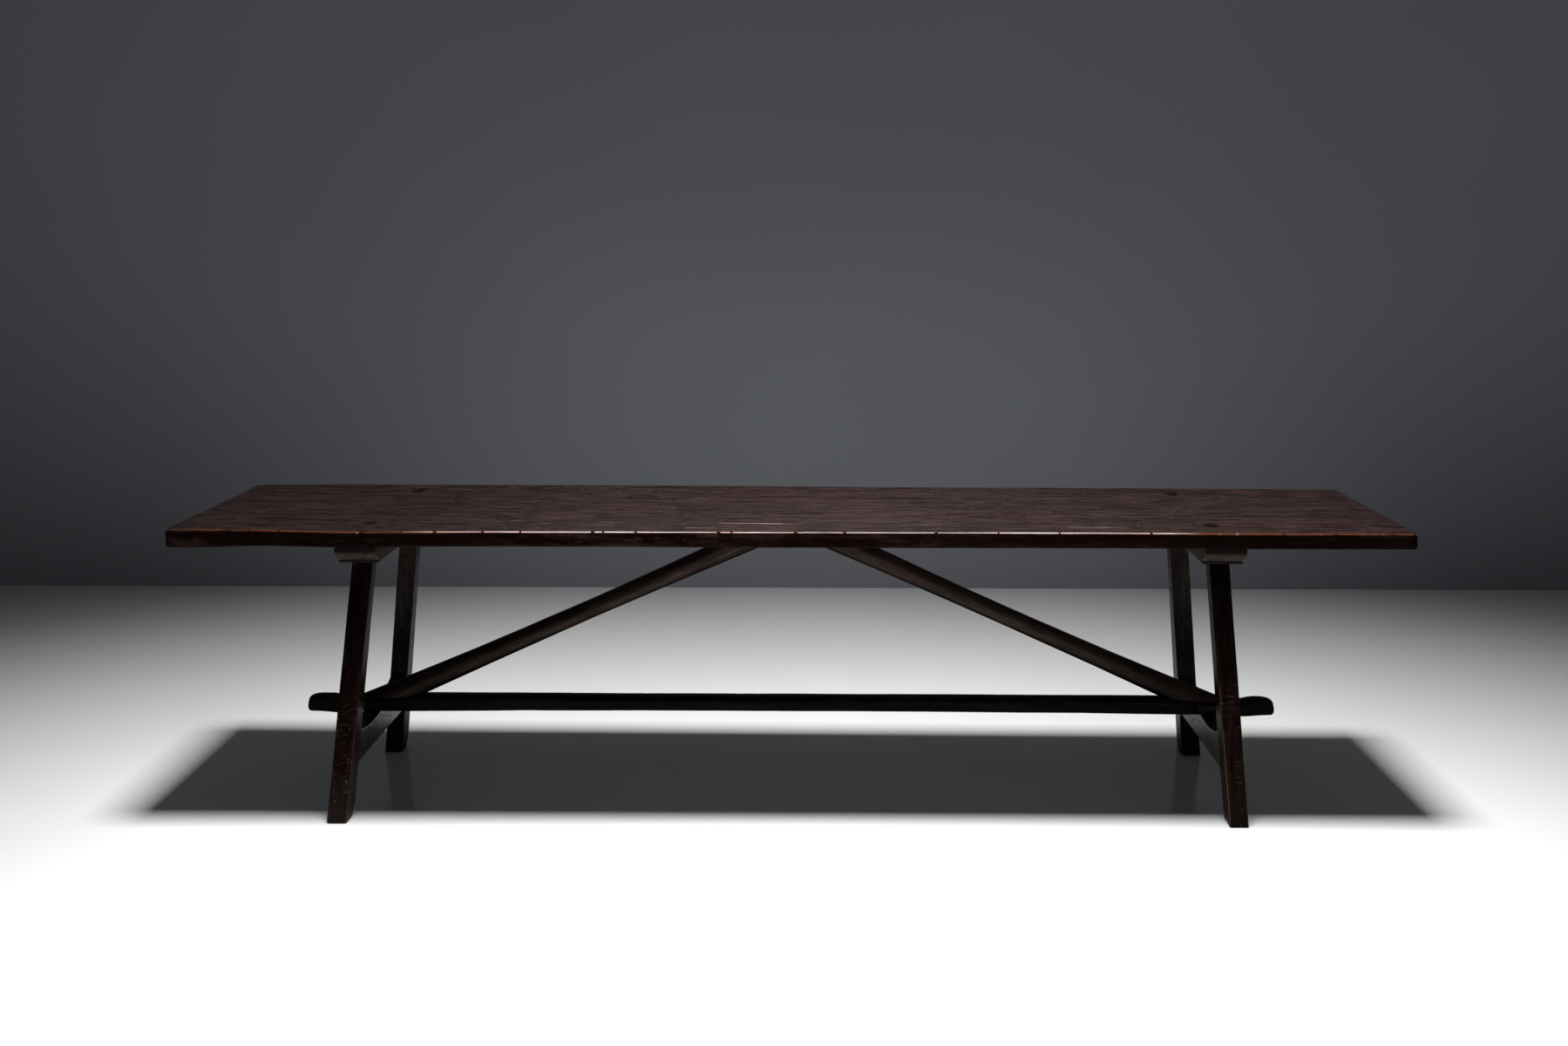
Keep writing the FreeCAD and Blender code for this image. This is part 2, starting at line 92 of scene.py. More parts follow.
# ----------------------------------------------------------------- outlines
def run(count, edge=0.06):
    """Fractions for the points on a straight side, with one close to each end."""
    if count <= 0:
        return np.zeros(0)
    if count == 1:
        return np.array([0.5])
    return np.concatenate([[edge], np.linspace(edge, 1 - edge, count)[1:-1], [1 - edge]])


def outline(corners, radii, sides, arc=4):
    """Closed outlines with rounded corners, one for each station.

    corners is (stations, K, 2), counter-clockwise. radii broadcasts to
    (stations, K). sides[k] holds the fractions of the points from corner k to the
    next one, as (m,) or (stations, m). Gives the points, how near each is to an
    arris, and the number of the side or corner that it lies on.
    """
    S, K = corners.shape[:2]
    radii = np.broadcast_to(np.asarray(radii, float), (S, K))
    starts, ends, bends = [], [], []
    for k in range(K):
        here, before, after = corners[:, k], corners[:, k - 1], corners[:, (k + 1) % K]
        d0, d1 = here - before, after - here
        l0 = np.maximum(np.linalg.norm(d0, axis=1), 1e-9)
        l1 = np.maximum(np.linalg.norm(d1, axis=1), 1e-9)
        d0, d1 = d0 / l0[:, None], d1 / l1[:, None]
        turn = np.arccos(np.clip((d0 * d1).sum(1), -1, 1))
        cut = np.minimum(radii[:, k] * np.tan(turn / 2), 0.47 * np.minimum(l0, l1))
        starts.append(here - d0 * cut[:, None])
        ends.append(here + d1 * cut[:, None])
        bends.append(np.cos(turn / 2))
    points, arris, where = [], [], []
    for k in range(K):
        a, c, b, w = starts[k], corners[:, k], ends[k], bends[k]
        for i in range(arc + 1):
            t = i / arc
            q0, q1, q2 = (1 - t) ** 2, 2 * t * (1 - t) * w, t * t
            total = q0 + q1 + q2
            points.append((a * q0 + c * q1[:, None] + b * q2) / total[:, None])
            arris.append(0.55 + 0.45 * math.sin(math.pi * t))
            where.append(2 * k)
        e = starts[(k + 1) % K]
        long = float(np.linalg.norm(e - b, axis=1).mean())
        f = np.asarray(sides[k], float)
        if f.ndim == 1:
            f = np.broadcast_to(f, (S, len(f)))
        for j in range(f.shape[1]):
            points.append(b + (e - b) * f[:, j, None])
            away = min(float(f[:, j].mean()), 1 - float(f[:, j].mean())) * long
            arris.append(0.55 * math.exp(-away / 0.004))
            where.append(2 * k + 1)
    return np.stack(points, 1), np.array(arris), np.array(where)


def outward(P):
    """Normals of a loft's points, from its neighbours."""
    n = np.cross(np.roll(P, -1, 1) - np.roll(P, 1, 1), np.gradient(P, axis=0))
    return n / np.maximum(np.linalg.norm(n, axis=2, keepdims=True), 1e-12)


def worn(P, arris, seed, wave=0.0006, nick=0.0012, reach=0.03):
    """Hand-worked and worn surface: slow waves all over, and dents along arrises."""
    n = outward(P)
    x, y, z = P[..., 0], P[..., 1], P[..., 2]
    move = wave * (0.65 * noise(x * 6, y * 6, z * 6, seed) + 0.35 * noise(x * 21, y * 21, z * 21, seed + 1))
    edge = np.clip((arris - 0.35) / 0.5, 0, 1)[None, :]
    dents = np.clip(noise(x / reach, y / reach, z / reach, seed + 2) - 0.38, 0, 1) / 0.62
    rubbed = 0.5 + 0.5 * noise(x * 5, y * 5, z * 5, seed + 3)
    move = move - edge * (nick * dents + 0.35 * nick * rubbed)
    return P + n * move[..., None]


# ------------------------------------------------------------------- meshes
class Shape:
    """Mesh put together from lofts, with what the wood materials read from it.

    grain: metres along, across and through the grain; arris: how near an arris;
    cut: end grain; rub: pale where above 0, dark where below 0, for wear, dust and old dirt and also for painted
    highlights, painted sheen and painted shade.
    """

    def __init__(self):
        self.points, self.grain, self.arris, self.cut, self.rub_and_painted_light = [], [], [], [], []
        self.quads, self.quad_uv, self.quad_isle = [], [], []
        self.caps, self.rects, self.count = [], [], 0

    def loft(self, P, grain, arris, rub_and_painted_light=None, ends=2, cut=None):
        S, N = P.shape[:2]
        number = np.arange(S * N).reshape(S, N) + self.count
        right = np.roll(number, -1, 1)
        quads = np.stack([number[:-1], right[:-1], right[1:], number[1:]], -1)
        step = np.linalg.norm(np.diff(P.mean(1), axis=0), axis=1)
        side = np.linalg.norm(np.diff(P, axis=0), axis=2).max(1)
        along = np.concatenate([[0], np.cumsum(np.maximum(step, 0.5 * side))])
        around = np.linalg.norm(np.roll(P, -1, 1) - P, axis=2).max(0)
        around = np.concatenate([[0], np.cumsum(around)])
        rows = max(1, int(round(math.sqrt(along[-1] / around[-1]))))
        isle = np.minimum((along[:-1] / along[-1] * rows).astype(int), rows - 1)
        first = np.array([along[:-1][isle == r].min() for r in range(rows)])
        last = np.array([along[1:][isle == r].max() for r in range(rows)])
        u0 = along[:-1] - first[isle]
        u1 = along[1:] - first[isle]
        uv = np.zeros((S - 1, N, 4, 2))
        uv[..., 0, 0] = uv[..., 1, 0] = u0[:, None]
        uv[..., 2, 0] = uv[..., 3, 0] = u1[:, None]
        uv[..., 0, 1] = uv[..., 3, 1] = around[None, :-1]
        uv[..., 1, 1] = uv[..., 2, 1] = around[None, 1:]
        base = len(self.rects)
        for r in range(rows):
            self.rects.append((last[r] - first[r], around[-1]))
        self.quads.append(quads.reshape(-1, 4))
        self.quad_uv.append(uv.reshape(-1, 4, 2))
        self.quad_isle.append(np.repeat(base + isle, N))
        arris = np.broadcast_to(arris, (S, N)).copy()
        ends_cut = np.zeros((S, N)) if cut is None else cut.copy()
        for s, face in ((0, number[0][::-1]), (S - 1, number[-1])):
            if ends:
                ends_cut[s] = 1
                arris[s] = 0
                ring = P[s] if s else P[s][::-1]
                middle = ring.mean(0)
                spread = ring - middle
                main = spread[np.argmax(np.linalg.norm(spread, axis=1))]
                main = main / np.linalg.norm(main)
                normal = np.cross(spread, np.roll(spread, -1, 0)).sum(0)
                other = np.cross(normal / np.linalg.norm(normal), main)
                flat = np.stack([spread @ main, spread @ other], 1)
                flat -= flat.min(0)
                self.caps.append((face, flat, len(self.rects)))
                self.rects.append(tuple(flat.max(0)))
        self.points.append(P.reshape(-1, 3))
        self.grain.append(np.asarray(grain).reshape(-1, 3))
        self.arris.append(arris.reshape(-1))
        self.cut.append(ends_cut.reshape(-1))
        self.rub_and_painted_light.append((np.zeros((S, N)) if rub_and_painted_light is None else np.broadcast_to(rub_and_painted_light, (S, N))).reshape(-1))
        self.count += S * N
        return self

    def _pack(self):
        """Lays the islands out in rows, with a gap between them."""
        gap = 0.004
        area = sum((w + gap) * (h + gap) for w, h in self.rects)
        wide = max(max(w for w, h in self.rects) + gap, math.sqrt(area) * 1.08)
        spots, x, y, tall = {}, 0.0, 0.0, 0.0
        for i in sorted(range(len(self.rects)), key=lambda i: -self.rects[i][1]):
            w, h = self.rects[i]
            if x + w + gap > wide and x > 0:
                x, y, tall = 0.0, y + tall, 0.0
            spots[i] = (x + gap / 2, y + gap / 2)
            x, tall = x + w + gap, max(tall, h + gap)
        return np.array([spots[i] for i in range(len(self.rects))]), max(wide, y + tall)

    def build(self, name, material, slot, *nodes):
        spots, size = self._pack()
        quads, uv = np.concatenate(self.quads), np.concatenate(self.quad_uv)
        uv = (uv + spots[np.concatenate(self.quad_isle)][:, None, :]) / size
        loops = [uv.reshape(-1, 2)] + [(flat + spots[i]) / size for _, flat, i in self.caps]
        faces = quads.tolist() + [face.tolist() for face, _, _ in self.caps]
        mesh = bpy.data.meshes.new(name)
        mesh.from_pydata(np.concatenate(self.points).tolist(), [], faces)
        layer = mesh.uv_layers.new(name="OFBake")
        layer.data.foreach_set("uv", np.concatenate(loops).astype(np.float32).ravel())
        smooth = np.ones(len(faces), bool)
        smooth[len(quads):] = False
        mesh.polygons.foreach_set("use_smooth", smooth)
        grain = mesh.attributes.new("grain", "FLOAT_VECTOR", "POINT")
        grain.data.foreach_set("vector", np.concatenate(self.grain).astype(np.float32).ravel())
        for key, values in (("arris", self.arris), ("cut", self.cut), ("rub_and_painted_light", self.rub_and_painted_light)):
            held = mesh.attributes.new(key, "FLOAT", "POINT")
            held.data.foreach_set("value", np.concatenate(values).astype(np.float32))
        mesh.materials.append(material)
        mesh.update()
        piece = bpy.data.objects.new(name, mesh)
        SCENE.collection.objects.link(piece)
        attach(piece, "root")
        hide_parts(*nodes)
        return piece


def mirrored(P, sign, *others):
    """Left-hand pieces: mirrored across X, with the loops turned round to match."""
    if sign > 0:
        return (P,) + others
    Q = P[:, ::-1].copy()
    Q[..., 0] *= -1
    return (Q,) + tuple(o[..., ::-1] if o.ndim < 3 else o[:, ::-1] for o in others)


def grain_of(P, along, across, through, seed):
    """Grain coordinates: the three world axes in grain order, set off per piece."""
    g = np.stack([P[..., along], P[..., across], P[..., through]], -1)
    return g + np.array([seed * 0.731, seed * 0.417, seed * 0.293])


# ---------------------------------------------------------------- materials
class Graph:
    """Short calls for building a node material."""

    def __init__(self, name):
        self.material = bpy.data.materials.new(name)
        self.material.use_nodes = True
        self.tree = self.material.node_tree
        self.tree.nodes.clear()

    def put(self, socket, value):
        if isinstance(value, bpy.types.NodeSocket):
            self.tree.links.new(value, socket)
        else:
            socket.default_value = value

    def node(self, kind, **settings):
        n = self.tree.nodes.new(kind)
        for key, value in settings.items():
            setattr(n, key, value)
        return n

    def attribute(self, name, output="Fac"):
        return self.node("ShaderNodeAttribute", attribute_name=name).outputs[output]

    def scaled(self, vector, factors):
        n = self.node("ShaderNodeVectorMath", operation="MULTIPLY")
        self.put(n.inputs[0], vector)
        n.inputs[1].default_value = factors
        return n.outputs[0]

    def noise(self, vector, detail=2.0, rough=0.5, twist=0.0, scale=1.0):
        n = self.node("ShaderNodeTexNoise")
        self.put(n.inputs["Vector"], vector)
        n.inputs["Scale"].default_value = scale
        n.inputs["Detail"].default_value = detail
        n.inputs["Roughness"].default_value = rough
        n.inputs["Distortion"].default_value = twist
        return n.outputs[0]

    def math(self, operation, a, b=0.0, clamp=False):
        n = self.node("ShaderNodeMath", operation=operation, use_clamp=clamp)
        self.put(n.inputs[0], a)
        self.put(n.inputs[1], b)
        return n.outputs[0]

    def span(self, value, low, high, to_low=0.0, to_high=1.0, smooth=False):
        n = self.node("ShaderNodeMapRange", interpolation_type="SMOOTHSTEP" if smooth else "LINEAR")
        for socket, v in zip(n.inputs, (value, low, high, to_low, to_high)):
            self.put(socket, v)
        return n.outputs[0]

    def ramp(self, value, *stops):
        n = self.node("ShaderNodeValToRGB")
        self.put(n.inputs[0], value)
        ramp = n.color_ramp
        while len(ramp.elements) < len(stops):
            ramp.elements.new(0.5)
        for element, (place, colour) in zip(ramp.elements, stops):
            element.position = place
            element.color = tuple(colour) + (1.0,)
        return n.outputs[0]

    def mix(self, factor, a, b, blend="MIX"):
        n = self.node("ShaderNodeMix", data_type="RGBA", blend_type=blend)
        self.put(n.inputs[0], factor)
        for socket, v in ((n.inputs[6], a), (n.inputs[7], b)):
            if isinstance(v, tuple) and len(v) == 3:
                v = v + (1.0,)
            self.put(socket, v)
        return n.outputs[2]


def walnut(name, dark, mid, light, bare, end, rough=(0.30, 0.44), polish=0.10, wear=0.8, specks=0.5, flecks=0.0,
           pores=0.6, bump=0.3, streak=(1.6, 22.0), gloss=0.3, dust_and_sheen=(0.26, 0.22, 0.20),
           speck=(60.0, 60.0, 60.0), dot=(0.12, 0.06), share=(0.86, 0.90), bare_from=(0.40, 0.64), coat=0.0, mottle=0.0,
           dirt_and_shade=(0.0022, 0.0016, 0.0014), scratches=0.0):
    """Old waxed walnut: streaks, fibre and pores along the grain, rubbed arrises, dark flecks and pale specks."""
    g = Graph(name)
    grain = g.attribute("grain", "Vector")
    arris, cut, rub_and_painted_light = g.attribute("arris"), g.attribute("cut"), g.attribute("rub_and_painted_light")
    a, c = streak
    broad = g.noise(g.scaled(grain, (0.55 * a, 0.25 * c, 0.25 * c)), detail=3, rough=0.55, twist=0.4)
    bands = g.noise(g.scaled(grain, (a, c, c)), detail=4, rough=0.6, twist=0.5)
    short = g.noise(g.scaled(grain, (4.6 * a, 3.2 * c, 3.2 * c)), detail=4, rough=0.62, twist=0.3)
    fibre = g.noise(g.scaled(grain, (20.0, 380.0, 380.0)), detail=2, rough=0.6)
    pore = g.span(g.noise(g.scaled(grain, (42.0, 700.0, 700.0)), detail=1, rough=0.5), 0.37, 0.28, smooth=True)
    rings = g.noise(g.scaled(grain, (150.0, 150.0, 150.0)), detail=4, rough=0.65)

    tone = g.math("ADD", g.math("MULTIPLY", bands, 0.30), g.math("MULTIPLY", broad, 0.22))
    tone = g.math("ADD", tone, g.math("MULTIPLY", short, 0.48))
    tone = g.math("ADD", tone, g.math("MULTIPLY", g.math("SUBTRACT", fibre, 0.5), 0.20))
    if mottle:
        # Fine figure over quieter streaks.
        figure = g.noise(g.scaled(grain, (8.5, 92.0, 92.0)), detail=5, rough=0.70)
        pitting = g.noise(g.scaled(grain, (42.0, 170.0, 170.0)), detail=2, rough=0.6)
        tone = g.math("ADD", g.math("MULTIPLY", tone, 0.6), 0.2)
        tone = g.math("ADD", tone, g.math("MULTIPLY", g.math("SUBTRACT", figure, 0.5), mottle))
        tone = g.math("ADD", tone, g.math("MULTIPLY", g.math("SUBTRACT", pitting, 0.5), 0.55 * mottle))
    colour = g.ramp(tone, (0.40, dark), (0.50, mid), (0.60, light))
    if mottle:
        # Reddish patches.
        flush = g.span(g.noise(g.scaled(grain, (1.3, 7.0, 7.0)), detail=3, rough=0.6), 0.47, 0.62, 0.0, 0.38, smooth=True)
        colour = g.mix(flush, colour, (1.34, 0.92, 0.92), blend="MULTIPLY")
    colour = g.mix(g.math("MULTIPLY", pore, pores), colour, tuple(v * 0.35 for v in dark))

    # End grain: darker, without the long streaks.
    colour = g.mix(cut, colour, g.ramp(rings, (0.35, tuple(v * 0.7 for v in end)), (0.62, end)))

    # Arrises rubbed down to bare wood, in patches.
    patch = g.noise(g.scaled(grain, (17.0, 60.0, 60.0)), detail=5, rough=0.7)
    patch = g.span(patch, bare_from[0], bare_from[1], smooth=True)
    large = g.span(broad, 0.40, 0.60, 0.30, 1.0, smooth=True)
    worn_edge = g.math("MULTIPLY", g.span(arris, 0.62, 0.98, smooth=True), g.math("MULTIPLY", patch, large))
    worn_edge = g.math("MULTIPLY", worn_edge, wear, clamp=True)
    colour = g.mix(worn_edge, colour, bare)

    # Pale and dark set by the shape: scuffs and old dirt, and also painted highlights, painted sheen and painted shade;
    # then specks of dust.
    pale_part = g.math("MULTIPLY", g.span(rub_and_painted_light, 0.0, 1.0), g.span(fibre, 0.38, 0.62, 0.25, 1.0))
    colour = g.mix(pale_part, colour, dust_and_sheen)
    colour = g.mix(g.span(rub_and_painted_light, 0.0, -1.0), colour, dirt_and_shade)
    cells = g.node("ShaderNodeTexVoronoi", feature="F1")
    g.put(cells.inputs["Vector"], g.scaled(grain, speck))
    cells.inputs["Scale"].default_value = 1.0
    pick = g.node("ShaderNodeSeparateColor")
    g.put(pick.inputs[0], cells.outputs["Color"])
    spot = g.math("MULTIPLY", g.span(cells.outputs["Distance"], dot[0], dot[1]), g.span(pick.outputs[0], share[0], share[1]))
    spot = g.math("MULTIPLY", spot, g.span(rub_and_painted_light, -0.50, -0.15))
    colour = g.mix(g.math("MULTIPLY", spot, specks), colour, dust_and_sheen)
    if scratches:
        lines = g.span(g.noise(g.scaled(grain, (430.0, 32.0, 32.0)), detail=1, rough=0.4), 0.64, 0.72)
        here = g.span(g.noise(g.scaled(grain, (8.0, 12.0, 12.0)), detail=1), 0.48, 0.60)
        lines = g.math("MULTIPLY", g.math("MULTIPLY", lines, here), g.span(rub_and_painted_light, -0.96, -0.60, 0.0, scratches))
        colour = g.mix(lines, colour, dust_and_sheen)
    dark_dot = None
    if flecks:
        marks = g.node("ShaderNodeTexVoronoi", feature="F1")
        g.put(marks.inputs["Vector"], g.scaled(grain, (38.0, 85.0, 85.0)))
        marks.inputs["Scale"].default_value = 1.0
        some = g.node("ShaderNodeSeparateColor")
        g.put(some.inputs[0], marks.outputs["Color"])
        dark_dot = g.math("MULTIPLY", g.span(marks.outputs["Distance"], 0.40, 0.16), g.span(some.outputs[1], 0.50, 0.62))
        colour = g.mix(g.math("MULTIPLY", dark_dot, flecks), colour, tuple(v * 0.25 for v in dark))

    r = g.math("ADD", g.span(broad, 0.34, 0.66, rough[0], rough[1]), g.span(fibre, 0.3, 0.7, -0.04, 0.04))
    r = g.math("SUBTRACT", r, g.math("MULTIPLY", g.span(arris, 0.45, 0.95), polish))
    if dark_dot:
        r = g.math("ADD", r, g.math("MULTIPLY", dark_dot, 0.30))
    r = g.math("ADD", r, g.math("MULTIPLY", g.math("ADD", pale_part, cut), 0.14), clamp=True)
    height = g.math("ADD", g.math("MULTIPLY", short, 0.45), g.math("MULTIPLY", fibre, 0.30))
    height = g.math("SUBTRACT", height, g.math("MULTIPLY", pore, 0.45))
    height = g.math("ADD", height, g.math("MULTIPLY", g.noise(g.scaled(grain, (7.0 if mottle else 18.0, 70.0, 70.0)), detail=3), 0.5))
    if dark_dot:
        height = g.math("SUBTRACT", height, g.math("MULTIPLY", dark_dot, 1.2))

    shader = g.node("ShaderNodeBsdfPrincipled")
    g.put(shader.inputs["Base Color"], colour)
    g.put(shader.inputs["Roughness"], r)
    if coat:
        # Arris polished by hands where the painted highlight makes it pale, but not in its dents.
        clean = g.span(rub_and_painted_light, 0.02, 0.46)
        g.put(shader.inputs["Coat Weight"], g.math("MULTIPLY", g.span(arris, 0.78, 0.99, 0.0, coat), clean))
        shader.inputs["Coat Roughness"].default_value = 0.33
        shader.inputs["Coat IOR"].default_value = 2.2
    shader.inputs["Specular IOR Level"].default_value = gloss
    bumped = g.node("ShaderNodeBump")
    bumped.inputs["Strength"].default_value = bump
    bumped.inputs["Distance"].default_value = 0.0012
    g.put(bumped.inputs["Height"], height)
    g.put(shader.inputs["Normal"], bumped.outputs[0])
    out = g.node("ShaderNodeOutputMaterial")
    g.put(out.inputs["Surface"], shader.outputs[0])
    return g.material


TOP_WOOD = walnut("walnut_top_plank", (0.0060, 0.0036, 0.0034), (0.0154, 0.0095, 0.0089), (0.0328, 0.0200, 0.0189),
                  (0.125, 0.034, 0.010), (0.010, 0.0045, 0.0035), rough=(0.30, 0.42), polish=0.10, wear=1.0,
                  specks=0.9, gloss=0.015, streak=(2.4, 24.0), dust_and_sheen=(0.52, 0.37, 0.33), speck=(66.0, 66.0, 66.0),
                  dot=(0.11, 0.05), share=(0.84, 0.88), bare_from=(0.28, 0.50), coat=1.0, mottle=1.05,
                  dirt_and_shade=(0.0036, 0.0011, 0.0006))
FRAME_WOOD = walnut("walnut_frame_rails", (0.0120, 0.0070, 0.0054), (0.0240, 0.0145, 0.0112), (0.0390, 0.0250, 0.0198),
                    (0.10, 0.056, 0.036), (0.016, 0.0092, 0.0070), rough=(0.34, 0.50), wear=0.5, specks=0.3,
                    gloss=0.04, dirt_and_shade=(0.0024, 0.0012, 0.0009))
BRACE_WOOD = walnut("walnut_braces", (0.0190, 0.0114, 0.0088), (0.0370, 0.0235, 0.0184), (0.0580, 0.0385, 0.0312),
                    (0.08, 0.046, 0.030), (0.012, 0.0070, 0.0052), rough=(0.34, 0.50), wear=0.12, specks=0.3,
                    gloss=0.05, streak=(2.4, 30.0), dirt_and_shade=(0.0026, 0.0015, 0.0012))
RAIL_WOOD = walnut("walnut_cross_rails", (0.0050, 0.0038, 0.0033), (0.0105, 0.0082, 0.0074), (0.0220, 0.0180, 0.0165),
                   (0.11, 0.070, 0.050), (0.010, 0.0060, 0.0045), rough=(0.28, 0.44), wear=0.6, specks=0.3,
                   flecks=0.9, gloss=0.08, streak=(3.0, 26.0))
STRETCH_WOOD = walnut("walnut_long_rail", (0.0022, 0.0018, 0.0017), (0.0045, 0.0036, 0.0034), (0.0095, 0.0075, 0.0070),
                      (0.10, 0.066, 0.050), (0.005, 0.0035, 0.0030), rough=(0.36, 0.52), wear=0.7, specks=0.2,
                      gloss=0.03)
LEG_WOOD = walnut("walnut_legs_worn", (0.0036, 0.0013, 0.0009), (0.0092, 0.0037, 0.0025), (0.0205, 0.0098, 0.0072),
                  (0.135, 0.060, 0.047), (0.0108, 0.0074, 0.0062), rough=(0.30, 0.44), wear=0.9, specks=0.9,
                  gloss=0.018, streak=(2.6, 34.0), dust_and_sheen=(0.22, 0.180, 0.160), speck=(75.0, 90.0, 90.0),
                  dot=(0.15, 0.07), share=(0.74, 0.80), bare_from=(0.28, 0.52), dirt_and_shade=(0.0014, 0.0005, 0.0004), scratches=0.16)
# Rear legs: a paler, greyer copy of the leg wood, for dust and for a painted sheen.
REAR_LEG_WOOD = walnut("walnut_legs_dust_and_sheen", (0.0054, 0.0034, 0.0025), (0.0142, 0.0092, 0.0068), (0.0270, 0.0186, 0.0146),
                       (0.10, 0.062, 0.045), (0.010, 0.0055, 0.0040), rough=(0.32, 0.46), wear=0.6, specks=0.4,
                       flecks=0.7, gloss=0.06, streak=(2.6, 34.0))
PEG_WOOD = walnut("walnut_pegs", (0.0025, 0.0016, 0.0013), (0.0050, 0.0032, 0.0026), (0.0090, 0.0060, 0.0048),
                  (0.03, 0.018, 0.012), (0.0040, 0.0026, 0.0021), rough=(0.50, 0.66), wear=0.4, specks=0.1,
                  gloss=0.1, streak=(10.0, 160.0))


# ------------------------------------------------------------------ the top
def half_width(x):
    return 0.40025 - 0.00875 * x / END


def build_top():
    # Long narrow marks on the upper face: y, x from, x to, depth, half width, tone.
    marks = [
        (0.046, -1.560, -1.512, 0.0022, 0.0016, -0.9), (-0.179, -1.560, -1.520, 0.0020, 0.0016, -0.9),
        (-0.016, 1.494, 1.560, 0.0024, 0.0018, -0.9), (-0.095, -1.382, -1.356, 0.0010, 0.0060, -1.0),
        (0.092, -1.362, -1.340, 0.0010, 0.0060, -1.0), (-0.150, -1.390, -1.300, 0.0008, 0.0050, -0.9),
        (0.228, -1.190, -1.118, 0.0010, 0.0060, -1.0), (-0.048, -1.217, -1.196, 0.0010, 0.0060, -1.0),
        (0.147, 1.518, 1.560, 0.0018, 0.0016, -0.9), (-0.233, 1.527, 1.560, 0.0016, 0.0016, -0.8),
        (0.190, 0.210, 0.420, 0.0004, 0.0060, -0.7), (0.020, -0.640, -0.420, 0.0004, 0.0056, -0.6),
        (0.252, -0.180, -0.120, 0.0004, 0.0062, -0.9), (0.120, 0.320, 0.380, 0.0004, 0.0060, -0.8),
        (-0.308, 0.690, 0.850, 0.0003, 0.0034, 0.60),
        (-0.336, -0.264, -0.180, 0.0003, 0.0036, 0.58), (-0.2425, -0.490, -0.425, 0.0003, 0.0030, 0.45),
        (-0.2180, -0.720, -0.675, 0.0003, 0.0040, 0.40),
        (-0.1980, 0.050, 0.140, 0.0003, 0.0050, 0.15), (0.060, -0.950, -0.860, 0.0003, 0.0050, 0.12),
    ]
    # Dents in the front arris: x, half length, depth, tone.
    nicks = [(-1.070, 0.0040, 0.0024, 0.25), (-1.061, 0.0020, 0.0030, -0.9), (-0.172, 0.0025, 0.0028, -0.9),
             (1.107, 0.0045, 0.0022, 0.25), (1.064, 0.0020, 0.0014, 0.2), (1.311, 0.0018, 0.0012, 0.2),
             (1.413, 0.0020, 0.0013, 0.2), (1.462, 0.0022, 0.0014, 0.2)]
    for at, reach in ((-1.391, 0.0018), (-1.339, 0.0022), (-1.265, 0.0026), (-0.961, 0.0018), (-0.877, 0.0030),
                      (-0.758, 0.0024), (-0.664, 0.0018), (-0.484, 0.0026), (-0.458, 0.0016), (-0.378, 0.0022),
                      (-0.140, 0.0018), (0.019, 0.0024), (0.140, 0.0022), (0.366, 0.0026), (0.520, 0.0014),
                      (0.671, 0.0016), (0.897, 0.0024), (1.222, 0.0028), (1.350, 0.0022)):
        nicks.append((at, reach, 0.0004 + 0.35 * reach, -0.75))
    housings = [-SIDES["left"]["batten"], SIDES["right"]["batten"]]
    pegs = [(SIDES[k]["sign"] * TOP_PEG_X, y) for k in SIDES for y in SIDES[k]["peg_y"]]

    # Stations along the plank.
    fixed = []
    for c in housings:
        for s in (-1, 1):
            fixed += [c + s * 0.0372, c + s * 0.0370]
    fixed += [s * (END - d) for s in (-1, 1) for d in (0, 0.0004, 0.0012, 0.0025, 0.0042, 0.0066, 0.0100, 0.0140, 0.0200)]
    loose = list(np.arange(-END + 0.03, END - 0.029, 0.0115))
    for p in (-TOP_PEG_X, TOP_PEG_X):
        loose += list(np.arange(p - 0.0144, p + 0.0145, 0.0018))
    for x, reach, _, _ in nicks:
        loose += [x - 2 * reach, x - reach, x - reach * 0.45, x, x + reach * 0.45, x + reach, x + 2 * reach]
    for _, x0, x1, _, _, _ in marks:
        loose += [x for x in (x0, x0 + 0.006, x1 - 0.006, x1) if abs(x) < END - 0.022]
    priority = [x for x, _, _, _ in nicks]
    kept = list(fixed) + [x for x in priority if min(abs(x - f) for f in fixed) > 0.0008]
    for x in sorted(loose):
        if min(abs(x - f) for f in kept) > 0.00105:
            kept.append(x)
    xs = np.array(sorted(kept))
    S = len(xs)

    # Shape of the section at each station.
    inset = END - np.abs(xs)
    rounded = lambda r: np.where(inset < r, r - np.sqrt(np.maximum(r ** 2 - (r - np.minimum(inset, r)) ** 2, 0)), 0)
    drop = rounded(0.0055)
    front = half_width(xs) - rounded(0.016) + 0.0011 * noise(xs * 3.1, 0.5, 0.5, 5) + 0.0005 * noise(xs * 14, 0.5, 0.5, 6)
    rear = half_width(xs) - rounded(0.006) + 0.0011 * noise(xs * 2.7, 3.5, 0.5, 7) + 0.0005 * noise(xs * 13, 2.5, 0.5, 8)
    over = np.zeros(S, bool)
    for c in housings:
        over |= np.abs(xs - c) < 0.0371
    edge = np.zeros(S)
    for c in housings:
        for s in (-1, 1):
            edge = np.where(np.abs(xs - (c + s * 0.0372)) < 1e-6, -s, edge)
    low = np.where(over, TONGUE_TOP + 0.0002, UNDER + 0.5 * drop + 0.35 * rounded(0.012))
    high = TOP - drop
    corners = np.stack([np.stack([-front, low], 1), np.stack([rear, low], 1),
                        np.stack([rear, high], 1), np.stack([-front, high], 1)], 1)
    under_r = np.where(over | (edge != 0), 0.0003, 0.0034 + 0.0006 * noise(xs * 9, 1.5, 1.5, 9))
    front_r = 0.0040 + 0.0008 * noise(xs * 4.3, 0.5, 2.5, 10) + 0.0004 * noise(xs * 17, 0.5, 4.5, 12)
    rear_r = 0.0046 + 0.0014 * noise(xs * 4.1, 7.5, 2.5, 13)
    radii = np.stack([under_r, under_r, rear_r, front_r], 1)

